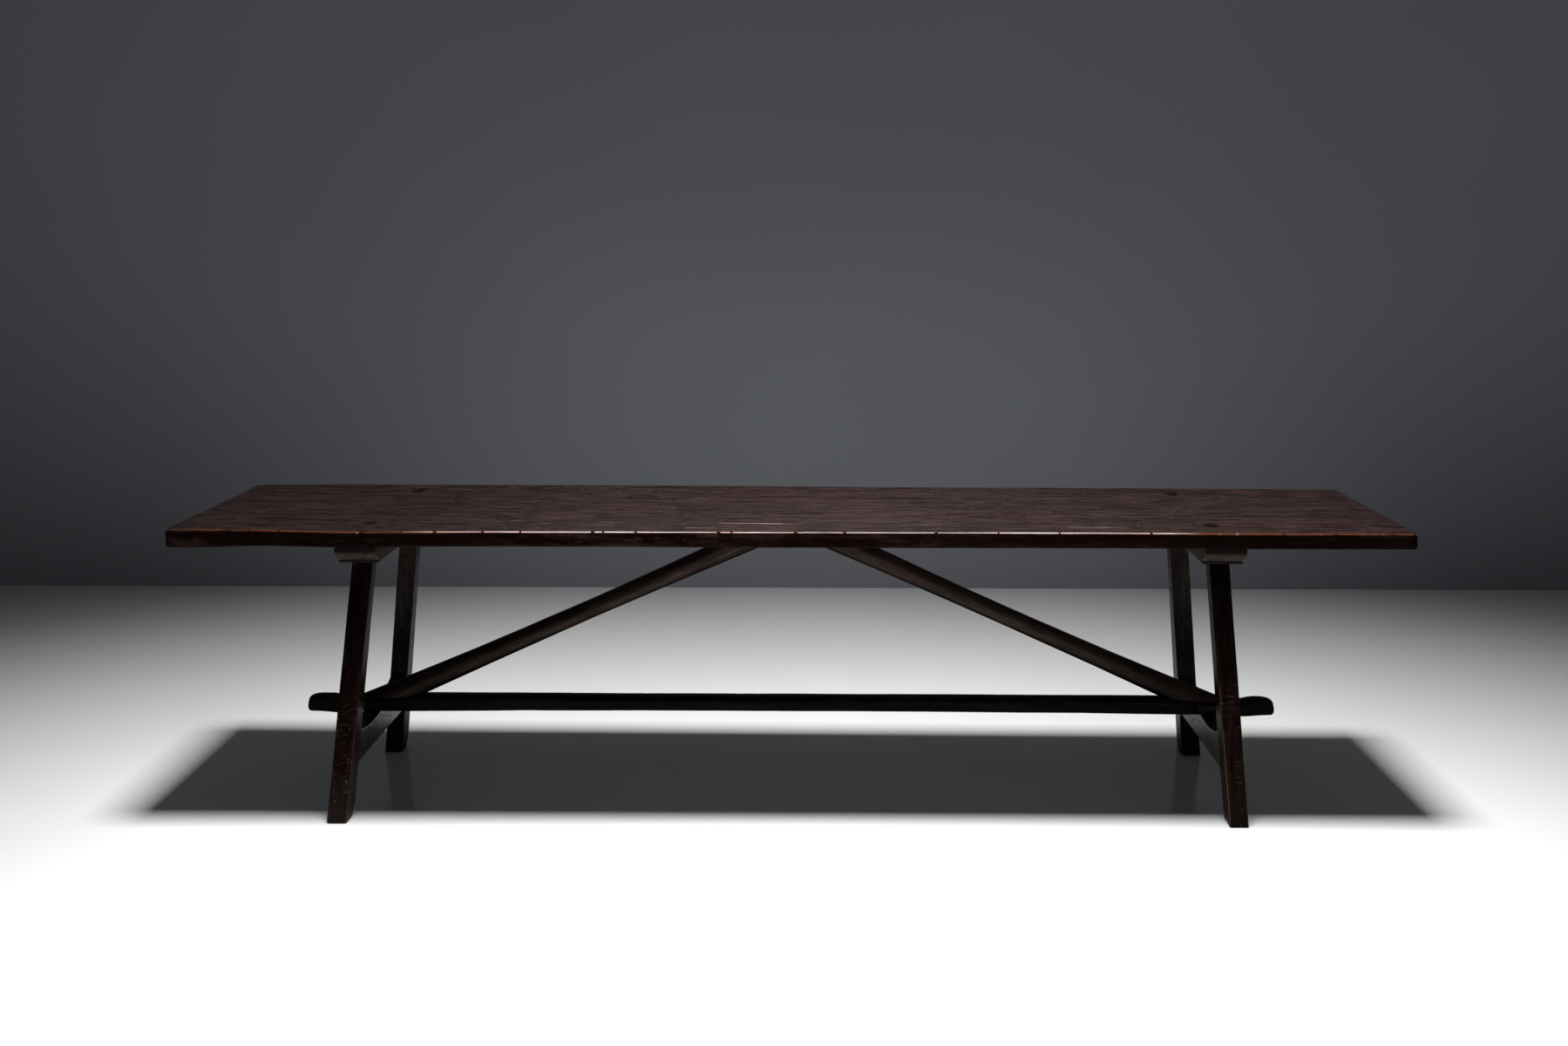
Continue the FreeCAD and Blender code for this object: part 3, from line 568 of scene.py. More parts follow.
    # Lines across the upper face.
    near = np.array([0.0012, 0.0032, 0.0070, 0.0130, 0.0220, 0.0350])
    lines = []
    for y0, y1 in ((0.2705, 0.3310), (-0.2865, -0.2475)):
        lines += list(np.arange(y0, y1, 0.0018))
    for y in np.arange(-0.322, 0.3221, 0.0140):
        if not (0.268 < y < 0.333 or -0.289 < y < -0.245):
            lines.append(y)
    tracks = []
    for number, mark in enumerate(marks):
        y, half = mark[0], mark[4]
        lines = [l for l in lines if abs(l - y) > half + 0.0032]
        wander = 0.0012 * noise(xs * 24, number + 0.5, 0.5, 14)
        tracks += [(y + d * half, wander, number, d) for d in (-1, 0, 1)]
    held = [(y, np.zeros(S), -1, 0) for y in lines if abs(y) < 0.326] + tracks
    held.sort(key=lambda item: -item[0])
    y_rear, y_front = rear - rear_r, -front + front_r
    span = (y_rear - y_front)[:, None]
    above = np.concatenate([near[None, :] / span,
                            (y_rear[:, None] - np.stack([y + w for y, w, _, _ in held], 1)) / span,
                            1 - near[None, ::-1] / span], 1)
    levels = np.array([0.7505, 0.7470, 0.7420, 0.7370, 0.7330, 0.7316, 0.7275, 0.7240])
    z_high, z_low = (high - 0.0070)[:, None], (low + under_r)[:, None]
    down = (z_high - levels[None]) / (z_high - z_low)
    order = np.arange(len(levels))
    down = np.clip(down, 0.01 * (order + 1), 1 - 0.0002 * (len(levels) - order))
    P2, arris, where = outline(corners, radii, [run(16, 0.006), 1 - down[:, ::-1], above, down], arc=6)
    N = P2.shape[1]
    P = np.concatenate([np.broadcast_to(xs[:, None, None], (S, N, 1)), P2], 2)

    # Dovetail sides of the two housings.
    for s in np.nonzero(edge)[0]:
        rise = np.clip((P[s, :, 2] - UNDER) / (TONGUE_TOP - UNDER), 0, 1)
        P[s, :, 0] += edge[s] * 0.0042 * (1 - rise)

    P = worn(P, np.where(where == 6, arris * 0.55, arris * 0.8), 21, wave=0.0, nick=0.0007, reach=0.024)
    x, y, z = P[..., 0].copy(), P[..., 1].copy(), P[..., 2].copy()
    upper = np.isin(where, (4, 5, 6))
    wave = 0.00045 * noise(x * 2.4, y * 7, 0.5, 22) + 0.00022 * noise(x * 7, y * 24, 0.5, 23)
    P[:, upper, 2] += wave[:, upper] * np.clip(inset / 0.03, 0, 1)[:, None]
    faces = np.isin(where, (3, 7))
    bow = 0.0007 * noise(x * 5, z * 40, y, 24)
    P[:, faces, 1] += (bow * np.sign(y))[:, faces]

    rub_and_painted_light = np.zeros((S, N))
    # Checks, dark dashes and pale streaks.
    first = np.nonzero(where == 5)[0][0] + len(near)
    for column, (_, _, number, d) in enumerate(held):
        if number < 0:
            continue
        _, x0, x1, depth, _, tone = marks[number]
        inside = ease((xs - x0) / 0.008) * ease((x1 - xs) / 0.008)
        if tone > 0:
            inside = inside * np.clip(0.75 + 0.9 * noise(xs * 40, number + 0.5, 0.5, 15), 0, 1)
        weight = 1.0 if d == 0 else 0.15
        P[:, first + column, 2] -= depth * inside * (1.0 if d == 0 else 0.05)
        rub_and_painted_light[:, first + column] += tone * inside * weight

    # Pale scratches in the middle, near the front.
    for y0, tilt, x0, x1, half, tone in ((-0.2520, -0.004, -0.184, -0.016, 0.0024, 0.80), (-0.263, -0.006, -0.100, 0.010, 0.0024, 0.35),
                                         (-0.280, 0.010, 0.330, 0.390, 0.0026, 0.30), (-0.262, 0.0, -0.640, -0.600, 0.0026, 0.35)):
        inside = ease((xs - x0) / 0.012) * ease((x1 - xs) / 0.012) * np.clip(0.85 + 0.8 * noise(xs * 50, y0 * 90, 0.5, 16), 0, 1)
        off = P[..., 1] - (y0 + tilt * ((xs - x0) / (x1 - x0))[:, None])
        rub_and_painted_light += tone * np.exp(-(off / half) ** 2) * inside[:, None] * (where == 5)[None, :]

    # Sunk peg holes.
    for px, py in pegs:
        dx, dy = P[..., 0] - px, P[..., 1] - py
        r = np.hypot(dx, dy)
        top_face = (where == 5)[None, :] & (z > TOP - 0.004)
        rim = top_face & (np.abs(r - 0.0092) < 0.00125)
        scale = np.where(rim, 0.0092 / np.maximum(r, 1e-6), 1.0)
        P[..., 0] = np.where(rim, px + dx * scale, P[..., 0])
        P[..., 1] = np.where(rim, py + dy * scale, P[..., 1])
        hole = top_face & (r < 0.0092 - 0.00125)
        P[..., 2] = np.where(hole, TOP - 0.0048, P[..., 2])
        around = top_face & (r > 0.0104) & (r < 0.019)
        P[..., 2] -= np.where(around, 0.0005 * ease((0.019 - r) / 0.009), 0)
        stain = -0.85 * ease((0.025 - np.hypot(dx, 0.62 * dy)) / 0.011) * top_face
        rub_and_painted_light = np.where(hole, -1.0, np.where(rim, -0.85, np.where(stain < -0.01, np.minimum(rub_and_painted_light, stain), rub_and_painted_light)))

    # Dents along the front arris, and two splits down the front edge.
    n = outward(P)
    touch = np.isin(where, (6,)) * 1.0
    near_edge = (where == 5) & (P[..., 1].mean(0) < -0.385)
    touch = np.where(near_edge, 0.15, touch)
    near_edge = (where == 7) & (P[..., 2].mean(0) > 0.746)
    touch = np.where(near_edge, 0.25, touch)
    for nx, reach, depth, tone in nicks:
        inside = np.clip(1 - ((xs - nx) / reach) ** 2, 0, 1)
        P -= n * (depth * inside[:, None] * touch[None, :])[..., None]
        if tone < 0:
            inside = np.clip(1.35 - np.abs(xs - nx) / (1.5 * reach), 0, 1)
        rub_and_painted_light += tone * inside[:, None] * touch[None, :]
    split = np.isin(where, (6, 7)) & (P[..., 1].mean(0) < 0)
    for sx, reach, depth in ((-0.172, 0.0026, 0.0024), (-1.061, 0.0024, 0.0022)):
        inside = np.clip(1 - np.abs(xs - sx) / reach, 0, 1)
        P[..., 1] += depth * inside[:, None] * split[None, :]
        rub_and_painted_light -= 0.9 * inside[:, None] * split[None, :]
    # Painted pool of light: the upper face is paler in the middle and towards the front. Painted shade: its left end is
    # darker.
    x, y, z = P[..., 0], P[..., 1], P[..., 2]
    painted_light_pool = np.exp(-((x - 0.12) / 0.80) ** 2) * (0.62 + 0.38 * ease((0.05 - y) / 0.40))
    painted_light_pool = 0.033 * painted_light_pool * np.clip(0.75 + 0.6 * noise(x * 4, y * 26, 0.5, 25) + 0.5 * noise(x * 14, y * 60, 0.5, 26), 0.1, 2)
    rub_and_painted_light = np.where((where == 5)[None, :] & (rub_and_painted_light > -0.2), np.maximum(rub_and_painted_light, rub_and_painted_light + painted_light_pool), rub_and_painted_light)
    rub_and_painted_light = np.where((where == 5)[None, :] & (np.abs(rub_and_painted_light) < 0.2), rub_and_painted_light - 0.29 * ease((-0.62 - x) / 0.55), rub_and_painted_light)
    # Painted highlight: a pale band along the front arris, even along most of its length.
    painted_highlight = 0.17 + np.maximum(0.64 * ease((-0.22 - x) / 0.40), 0.78 * ease((x - 0.38) / 0.36))
    painted_highlight = painted_highlight * ease((x + 0.99) / 0.16) * ease((1.04 - x) / 0.11)
    painted_highlight = painted_highlight * np.clip(0.85 + 0.6 * noise(x * 11, 0.5, 0.5, 33) + 0.3 * noise(x * 37, 0.5, 0.5, 34), 0, 1.4)
    top_arris = np.clip((arris - 0.85) / 0.13, 0, 1)[None, :] * (where == 6)[None, :]
    rub_and_painted_light = np.where(rub_and_painted_light > -0.2, rub_and_painted_light + painted_highlight * top_arris, rub_and_painted_light)
    # Painted shade, with blotchy old dirt, on the front, rear and lower rear arris, deepest towards the ends.
    dirt_and_shade = 0.68 + 0.42 * noise(x * 6, z * 40, 0.5, 27) + 0.40 * noise(x * 26, z * 110, 0.5, 28)
    dirt_and_shade = dirt_and_shade + np.interp(x, [-1.55, -1.00, -0.62, -0.42, 0.30, 0.56, 0.80, 1.55], [0.34, 0.27, 0.13, 0.04, 0.07, 0.26, 0.32, 0.34])
    side = np.isin(where, (2, 3, 7))
    rub_and_painted_light = np.where(side[None, :], np.minimum(rub_and_painted_light, -np.clip(dirt_and_shade, 0, 0.95)), rub_and_painted_light)
    # Painted shade along the lower front arris.
    rub_and_painted_light = np.where((where == 0)[None, :], -0.55 + 0.25 * noise(x * 9, 0.5, 0.5, 29), rub_and_painted_light)
    arris = np.broadcast_to(np.where(np.isin(where, (0, 2)), 0.5 * arris, arris), (S, N)).copy()
    # Warm bare wood just under the front arris, in the middle.
    warm = ease((0.75 - np.abs(x + 0.05)) / 0.35) * np.clip(0.60 + 0.75 * noise(x * 7, 0.5, 0.5, 35) + 0.35 * noise(x * 31, 0.5, 0.5, 36), 0, 1)
    warm = warm * ((where == 7) & (P[..., 1].mean(0) < 0))[None, :] * ease((z - 0.7425) / 0.0065)
    arris = np.maximum(arris, 0.88 * warm)
    arris = np.maximum(arris, 0.70 * ((where == 7) & (P[..., 1].mean(0) < 0))[None, :] * ease((1.20 - np.abs(x)) / 0.30))
    rub_and_painted_light = np.where(rub_and_painted_light > -0.93, rub_and_painted_light * (1 - 0.72 * warm), rub_and_painted_light)
    # Small pale scuffs left of the split, and painted light on the lower arris over the braces.
    pale_part = np.clip((noise(x * 62, z * 330, 0.5, 37) - 0.30) / 0.30, 0, 1) * ease((x + 0.80) / 0.15) * ease((-0.19 - x) / 0.06)
    pale_part = pale_part * ((where == 7) & (P[..., 1].mean(0) < 0))[None, :] * ease((0.7465 - z) / 0.002)
    rub_and_painted_light = rub_and_painted_light * (1 - pale_part) + 0.05 * pale_part
    rub_and_painted_light = np.where((where == 0)[None, :], rub_and_painted_light * (1 - 0.85 * ease((x + 0.26) / 0.08) * ease((0.06 - x) / 0.10)), rub_and_painted_light)
    # Both front corners are worn round and dark.
    tip = ease((0.019 - (END - np.abs(x))) / 0.012) * (where == 6)[None, :]
    arris = arris * (1 - tip)
    rub_and_painted_light = rub_and_painted_light * (1 - tip) - 0.55 * tip
    rub_and_painted_light = np.clip(rub_and_painted_light, -1, 1)
    P[..., 2] -= (np.where(x < 0, 0.0055, 0.0080) * ease((0.017 - (END - np.abs(x))) / 0.017)
                  * ease((0.032 - (y + front[:, None])) / 0.032) * ease((z - 0.742) / 0.018))
    grain = grain_of(P, 0, 1, 2, 3)
    # Old warp: the left end and the rear edge lift, and the ends are not quite square.
    x, y, z = P[..., 0].copy(), P[..., 1].copy(), P[..., 2].copy()
    leftward = np.clip((1.2 - x) / 2.75, 0, 1)
    edge_lift = np.interp(x, [-1.55, -1.30, -1.05, -0.55, -0.15, 0.25, 0.65, 1.10, 1.40],
                          [0.0015, 0.0050, 0.0058, 0.0056, 0.0050, 0.0030, 0.0030, 0.0020, 0.0])
    P[..., 1] += 0.012 * leftward * ease((y - 0.335) / 0.05)
    P[..., 2] += edge_lift * ease((y - 0.330) / 0.06) * ease((z - UNDER) / 0.03)
    P[..., 2] += (0.0062 - 0.0042 * ease((y + 0.4) / 0.8)) * ease((-1.04 - x) / 0.36)
    P[..., 2] += 0.0018 * ease((x + 1.02) / 0.2) * ease((-0.1 - x) / 0.3) * ease((-0.25 - y) / 0.12) * ease((0.745 - z) / 0.02)
    P[..., 2] -= 0.0066 * ease((-1.27 - x) / 0.21) * ease((0.745 - z) / 0.02)
    P[..., 2] += 0.0020 * ease((x + 1.18) / 0.3) * ease((1.25 - x) / 0.5) * ease((-0.18 - y) / 0.18)
    P[..., 0] += ease((x - 1.3) / 0.25) * 0.0050 - ease((-1.3 - x) / 0.25) * (0.0030 + 0.0080 * ease((y + 0.4) / 0.8))
    Shape().loft(P, grain, arris, rub_and_painted_light).build("tabletop_plank", TOP_WOOD, "walnut_top", "tabletop")


# ------------------------------------------------------------------ battens
def batten_stations(end):
    """Half of a batten from its middle outwards: y and the height of its lower side."""
    ys = [(y, BATTEN_LOW) for y in np.linspace(0, end - 0.052, 44)]
    ys += [(end - 0.0480, BATTEN_LOW), (end - 0.0452, BATTEN_LOW + 0.0002), (end - 0.0440, BATTEN_LOW + 0.0009),
           (end - 0.0432, BATTEN_LOW + 0.0022), (end - 0.0429, BATTEN_LOW + 0.0060), (end - 0.0424, BATTEN_LOW + 0.0070),
           (end - 0.0390, BATTEN_LOW + 0.0071)]
    cy, cz, r = end - 0.03396, 0.71795, 0.036
    a0, a1 = math.atan2(-0.03595, -0.00204), math.atan2(-0.01195, 0.03396)
    for t in np.linspace(0, 1, 14):
        a = a0 + (a1 - a0) * t
        ys.append((cy + r * math.cos(a), cz + r * math.sin(a)))
    return ys


def build_batten(side):
    k = SIDES[side]
    sign, seed = k["sign"], k["seed"]
    end = k["batten_long"] / 2
    half = batten_stations(end)
    rows = [(-y, z) for y, z in reversed(half)] + half[1:]
    ys = np.array([y for y, _ in rows])
    lows = np.array([z for _, z in rows])
    S = len(ys)
    # The outer flat closes with a small rounding.
    closing = np.array([0.0, 0.0004, 0.0012])
    ys = np.concatenate([-end - 0.0012 + closing, ys, end + 0.0012 - closing[::-1]])
    extra = np.array([0.0016, 0.0008, 0.0002])
    lows = np.concatenate([lows[0] + extra, lows, lows[-1] + extra[::-1]])
    # The moulding is cut a little higher than its lip.
    lows = lows + 0.0048 * ease((np.abs(ys) - end + 0.0432) / 0.0012) * (UNDER - lows) / (UNDER - BATTEN_LOW)
    sides_in = np.concatenate([extra, np.zeros(S), extra[::-1]])
    S = len(ys)
    x0 = k["batten"] - 0.051 + sides_in
    x1 = k["batten"] + 0.051 - sides_in
    top = np.full(S, UNDER - 0.0001) - sides_in * 0.3
    corners = np.stack([np.stack([lows, x0], 1), np.stack([top, x0], 1),
                        np.stack([top, x1], 1), np.stack([lows, x1], 1)], 1)
    P2, arris, where = outline(corners, (0.0030, 0.0012, 0.0012, 0.0030),
                               [run(5, 0.08), run(5, 0.03), run(5, 0.08), run(9, 0.03)], arc=4)
    N = P2.shape[1]
    P = np.stack([P2[..., 1], np.broadcast_to(ys[:, None], (S, N)), P2[..., 0]], 2)
    P = worn(P, arris, seed + 1, wave=0.0006, nick=0.0011)
    P[..., 2] = np.minimum(P[..., 2], UNDER + 0.0002)
    moulding = np.array([1.0 if abs(y) > end - 0.046 else 0.0 for y in ys])
    back = end - np.abs(ys)
    # Painted shade: dark under the top, in the groove and on the lip, with a faint painted lit band low on the
    # moulding.
    shade = 0.90 * ease((P[..., 2] - 0.7035) / 0.010)
    light = 0.05 * moulding[:, None] * ease((0.706 - P[..., 2]) / 0.006) * (back < 0.0380)[:, None]
    rub_and_painted_light = light - shade - (0.95 * ((back > 0.0410) & (back < 0.0431)) + 0.78 * ((back > 0.0431) & (back < 0.0500)))[:, None]
    rub_and_painted_light = np.clip(rub_and_painted_light, -1, 1)
    edge = np.maximum(np.broadcast_to(arris, (S, N)), 0.62 * ((np.abs(ys) > end - 0.0015) | (np.abs(np.abs(ys) - end + 0.044) < 0.0013))[:, None])
    # The moulded ends cut across the grain.
    cut = np.clip(moulding[:, None] * np.where(where == 7, 0.12, 0.0)[None, :], 0, 1)
    P, rub_and_painted_light, edge, cut = mirrored(P, sign, rub_and_painted_light, edge, cut)
    shape = Shape().loft(P, grain_of(P, 1, 0, 2, seed), edge, rub_and_painted_light, cut=cut)
    # Dovetail tongue in its housing, painted dark with shade.
    ys = np.concatenate([[-end, -end + 0.0006], np.linspace(-end + 0.012, end - 0.012, 24), [end - 0.0006, end]])
    S = len(ys)
    small = np.zeros(S)
    small[[0, -1]] = 0.0006
    wide, neck = 0.0365 - small, 0.0328 - small
    corners = np.stack([np.stack([np.full(S, UNDER - 0.004), k["batten"] - neck], 1),
                        np.stack([np.full(S, TONGUE_TOP - 0.0004) - small, k["batten"] - wide], 1),
                        np.stack([np.full(S, TONGUE_TOP - 0.0004) - small, k["batten"] + wide], 1),
                        np.stack([np.full(S, UNDER - 0.004), k["batten"] + neck], 1)], 1)
    P2, arris, _ = outline(corners, 0.0006, [run(3, 0.1), run(5, 0.05), run(3, 0.1), run(5, 0.05)], arc=2)
    N = P2.shape[1]
    P = np.stack([P2[..., 1], np.broadcast_to(ys[:, None], (S, N)), P2[..., 0]], 2)
    P, arris = mirrored(P, sign, arris)
    shape.loft(P, grain_of(P, 1, 0, 2, seed + 2), arris, np.full((S, N), -0.80))
    shape.build("batten_moulded_" + side, FRAME_WOOD, "walnut_frame", "batten_" + side)


# --------------------------------------------------------------------- legs
def build_leg(side, place):
    k = SIDES[side]
    sign = k["sign"]
    rear = place == "rear"
    seed = k["seed"] + (5 if rear else 8)
    zs = np.concatenate([[0.0, 0.0005, 0.0014, 0.0028, 0.0046], np.linspace(0.010, 0.664, 92), [0.6690, 0.6730, 0.6753]])
    S = len(zs)
    t = zs / BATTEN_LOW
    inset = np.where(zs < 0.0046, 0.0032 - np.sqrt(np.maximum(0.0032 ** 2 - (0.0032 * (1 - np.minimum(zs / 0.0046, 1))) ** 2, 0)), 0)
    x0 = k["foot"][0] + (k["head"][0] - k["foot"][0]) * t + inset
    x1 = k["foot"][1] + (k["head"][1] - k["foot"][1]) * t - inset
    near = 0.292 + (0.262 - 0.292) * t + inset
    far = 0.372 + (0.312 - 0.372) * t - inset
    sway = 0.0008 * noise(zs * 4, 0.5, 0.5, seed)
    x0, x1 = x0 + sway, x1 + sway
    # Hand-cut, so no two are the same width.
    x0 = x0 - {("left", False): 0.0040, ("left", True): 0.0030 * (1 - t)}.get((side, rear), 0.0)
    x1 = x1 + {("left", True): 0.0020 * t, ("right", False): 0.0014 + 0.0023 * t,
               ("right", True): 0.0060 - 0.0020 * t}.get((side, rear), 0.0)
    y0, y1 = (near, far) if rear else (-far, -near)
    # The feet stand a few millimetres forward.
    step = {("left", False): 0.009, ("left", True): 0.010, ("right", False): 0.003, ("right", True): 0.006}[side, rear] * (1 - t)
    y0, y1 = y0 - step, y1 - 0.6 * step
    corners = np.stack([np.stack([x0, y0], 1), np.stack([x1, y0], 1), np.stack([x1, y1], 1), np.stack([x0, y1], 1)], 1)
    swell = 1 + 0.35 * noise(zs * 9, 2.5, 0.5, seed + 1)
    lower = 1 + 0.25 * ease((0.30 - zs) / 0.30)
    radii = np.stack([0.0031 * swell * lower, 0.0023 * swell, 0.0023 * swell[::-1], 0.0026 * swell * lower], 1)
    P2, arris, where = outline(corners, radii, [run(7, 0.05), run(9, 0.04), run(7, 0.05), run(9, 0.04)], arc=4)
    N = P2.shape[1]
    P = np.concatenate([P2, np.broadcast_to(zs[:, None, None], (S, N, 1))], 2)
    P = worn(P, arris, seed + 2, wave=0.0008, nick=0.0012, reach=0.020)
    P[..., 2] = np.maximum(P[..., 2], 0.0002)
    # Knocked feet.
    x, y, z = P[..., 0], P[..., 1], P[..., 2]
    n = outward(P)
    bruise = np.clip(noise(x * 60, y * 60, z * 60, seed + 4) - 0.1, 0, 1) * ease((0.045 - z) / 0.045)
    P = P - n * (0.0030 * bruise)[..., None] * np.array([1, 1, 0])
    rub_and_painted_light = 0.05 * ease((0.20 - z) / 0.20) * (0.5 + 0.5 * noise(x * 30, y * 30, z * 14, seed + 5))
    # Painted shade: the front legs darken upwards, under the top.
    if not rear:
        rub_and_painted_light = rub_and_painted_light - 0.94 * ease((z - 0.10) / 0.40) * np.clip(0.85 + 0.5 * noise(x * 40, y * 40, z * 7, seed + 7), 0, 1.1)
    if side == "left":
        # Broken corner at the foot, on its inner rear side.
        corner_y = y1[0]
        away = np.sqrt(((x - x0[0]) / 0.022) ** 2 + ((y - corner_y) / 0.024) ** 2 + (z / 0.030) ** 2)
        broken = np.clip(1 - away, 0, 1) * (0.85 + 0.3 * noise(x * 160, y * 160, z * 160, seed + 6))
        P[..., 0] += 0.006 * broken
        P[..., 1] -= 0.007 * broken
        rub_and_painted_light = rub_and_painted_light - 0.5 * np.clip(broken * 2, 0, 1)
    # Painted sheen on the inner side, low down. The right front leg is also darker low on its other faces and gets more
    # painted shade higher up.
    inner_sheen = (where == 7)[None, :] * ease((0.30 - z) / 0.20)
    if side == "left":
        rub_and_painted_light = rub_and_painted_light + 0.13 * inner_sheen + (0.0 if rear else 0.015) * ease((0.25 - z) / 0.15)
    elif not rear:
        rub_and_painted_light = rub_and_painted_light + 0.07 * inner_sheen - 0.38 * ease((0.30 - z) / 0.10) * (where != 7)[None, :] - 0.20 * ease((z - 0.42) / 0.15)
    # Painted sheen: the rear legs are paler higher up.
    if rear:
        rub_and_painted_light = rub_and_painted_light + 0.022 * ease((z - 0.40) / 0.20) * (0.6 + 0.6 * noise(x * 30, y * 30, z * 9, seed + 8))
    rub_and_painted_light = np.clip(rub_and_painted_light, -1, 1)
    arris = arris[None, :] * (0.45 + 0.55 * ease((0.42 - zs) / 0.25))[:, None]
    if not rear:
        # The inner front arris is rubbed bare from knee height down.
        bare = ease((0.58 - zs) / 0.26) * ease((zs - 0.012) / 0.03) * np.clip(0.93 + 0.22 * noise(zs * 38, 0.5, 0.5, seed + 9), 0, 1)
        inner_front = np.nonzero(where == 0)[0]
        for column, most in zip(list(inner_front) + [inner_front[-1] + 1], (0.40, 0.72, 0.96, 0.80, 0.55, 0.0)):
            arris[:, column] = np.maximum(arris[:, column], most * bare)
            rub_and_painted_light[:, column] *= 1 - 0.8 * bare
    # Weathered grey at the foot.
    cut = np.broadcast_to(0.7 * ease((0.17 - zs) / 0.15)[:, None], (S, N)) * (1 - 0.8 * np.clip((arris - 0.5) / 0.4, 0, 1))
    P, rub_and_painted_light, arris, cut = mirrored(P, sign, rub_and_painted_light, arris, cut)
    Shape().loft(P, grain_of(P, 2, 0, 1, seed), arris, rub_and_painted_light, cut=cut).build(
        "leg_worn_%s_%s" % (place, side), REAR_LEG_WOOD if rear else LEG_WOOD, "walnut_legs", "leg_%s_%s" % (place, side))


# ----------------------------------------------------------- cross stretchers
def rail_profile():
    """Half of a cross stretcher from its middle outwards: y, lower and upper height along its lean."""
    ys = np.concatenate([np.linspace(0, 0.0295, 6), [0.0310, 0.0318, 0.0335, 0.0352, 0.0362],
                         np.linspace(0.0400, 0.2570, 52), np.linspace(0.2590, 0.2868, 15)])
    low, high = [], []
    for y in ys:
        if y <= 0.2623:
            l = 0.1327
        elif y < 0.2800:
            l = 0.1147 + math.sqrt(max(0.018 ** 2 - (y - 0.2623) ** 2, 0))
        else:
            l = 0.1180
        if y <= 0.031:
            h = 0.2302
        elif y < 0.036:
            h = 0.2302 + (0.2153 - 0.2302) * (y - 0.031) / 0.005
        elif y < 0.261:
            h = 0.2088 + 0.82 * (y - 0.125) ** 2
        elif y < 0.278:
            h = 0.2240 + 0.0160 * ((y - 0.261) / 0.017) ** 1.6
        else:
            h = 0.2400
        low.append(l)
        high.append(h)
    return ys, np.array(low), np.array(high)


def build_rail(side):
    k = SIDES[side]
    sign, seed = k["sign"], k["seed"] + 12
    ys, low, high = rail_profile()
    ys = np.concatenate([-ys[:0:-1], ys])
    low = np.concatenate([low[:0:-1], low])
    high = np.concatenate([high[:0:-1], high])
    high = high + 0.0008 * noise(ys * 16, 0.5, 0.5, seed)
    low = low + 0.0010 * noise(ys * 12, 1.5, 0.5, seed + 1)
    S = len(ys)
    thick = np.full(S, 0.022)
    corners = np.stack([np.stack([low, -thick], 1), np.stack([high, -thick], 1),
                        np.stack([high, thick], 1), np.stack([low, thick], 1)], 1)
    swell = 1 + 0.4 * noise(ys * 14, 2.5, 0.5, seed + 2)
    radii = np.stack([0.0028 * swell, 0.0022 * swell, 0.0022 * swell, 0.0028 * swell], 1)
    P2, arris, where = outline(corners, radii, [run(11, 0.03), run(7, 0.05), run(11, 0.03), run(7, 0.05)], arc=4)
    N = P2.shape[1]
    lean = math.radians(k["lean"])
    h, b = P2[..., 0], P2[..., 1]
    P = np.stack([k["rail_x"] + b * math.cos(lean) - h * math.sin(lean),
                  np.broadcast_to(ys[:, None], (S, N)),
                  h * math.cos(lean) + b * math.sin(lean)], 2)
    P = worn(P, arris, seed + 3, wave=0.0009, nick=0.0014)
    P[..., 1] -= (0.007 if side == "left" else 0.003) * np.minimum(np.abs(P[..., 1]) / 0.28, 1) ** 2
    if side == "right":
        away = np.sqrt(((P[..., 1] + 0.118) / 0.013) ** 2 + ((P[..., 2] - 0.166) / 0.007) ** 2)
        P[..., 0] += 0.0035 * ease(1 - away) * (where == 1)[None, :]
    # Painted shade darkens the left rail and painted sheen lightens the right one.
    rub_and_painted_light = np.full((S, N), -0.33 if side == "left" else 0.10)
    arris = arris[None, :] * np.where(np.abs(ys) < 0.06, 0.4, 1.0)[:, None]
    P, rub_and_painted_light, arris = mirrored(P, sign, rub_and_painted_light, arris)
    Shape().loft(P, grain_of(P, 1, 2, 0, seed), arris, rub_and_painted_light).build(
        "cross_rail_" + side, RAIL_WOOD, "walnut_frame", "cross_stretcher_" + side)


# ------------------------------------------------------------ long stretcher
def stretcher_top(x):
    """Height of the long stretcher's upper side."""
    a = np.abs(np.asarray(x, float))
    dip = 0.2480 - 0.0052 * ease((a - 0.98) / 0.11) - 0.0024 * ease((a - 1.09) / 0.09)
    return dip - np.where(np.asarray(x) > 0, 0.0, 0.0016) * ease((a - 1.17) / 0.03) + np.where(np.asarray(x) > 0, 0.0075, 0.0078) * ease((a - 1.203) / 0.050)


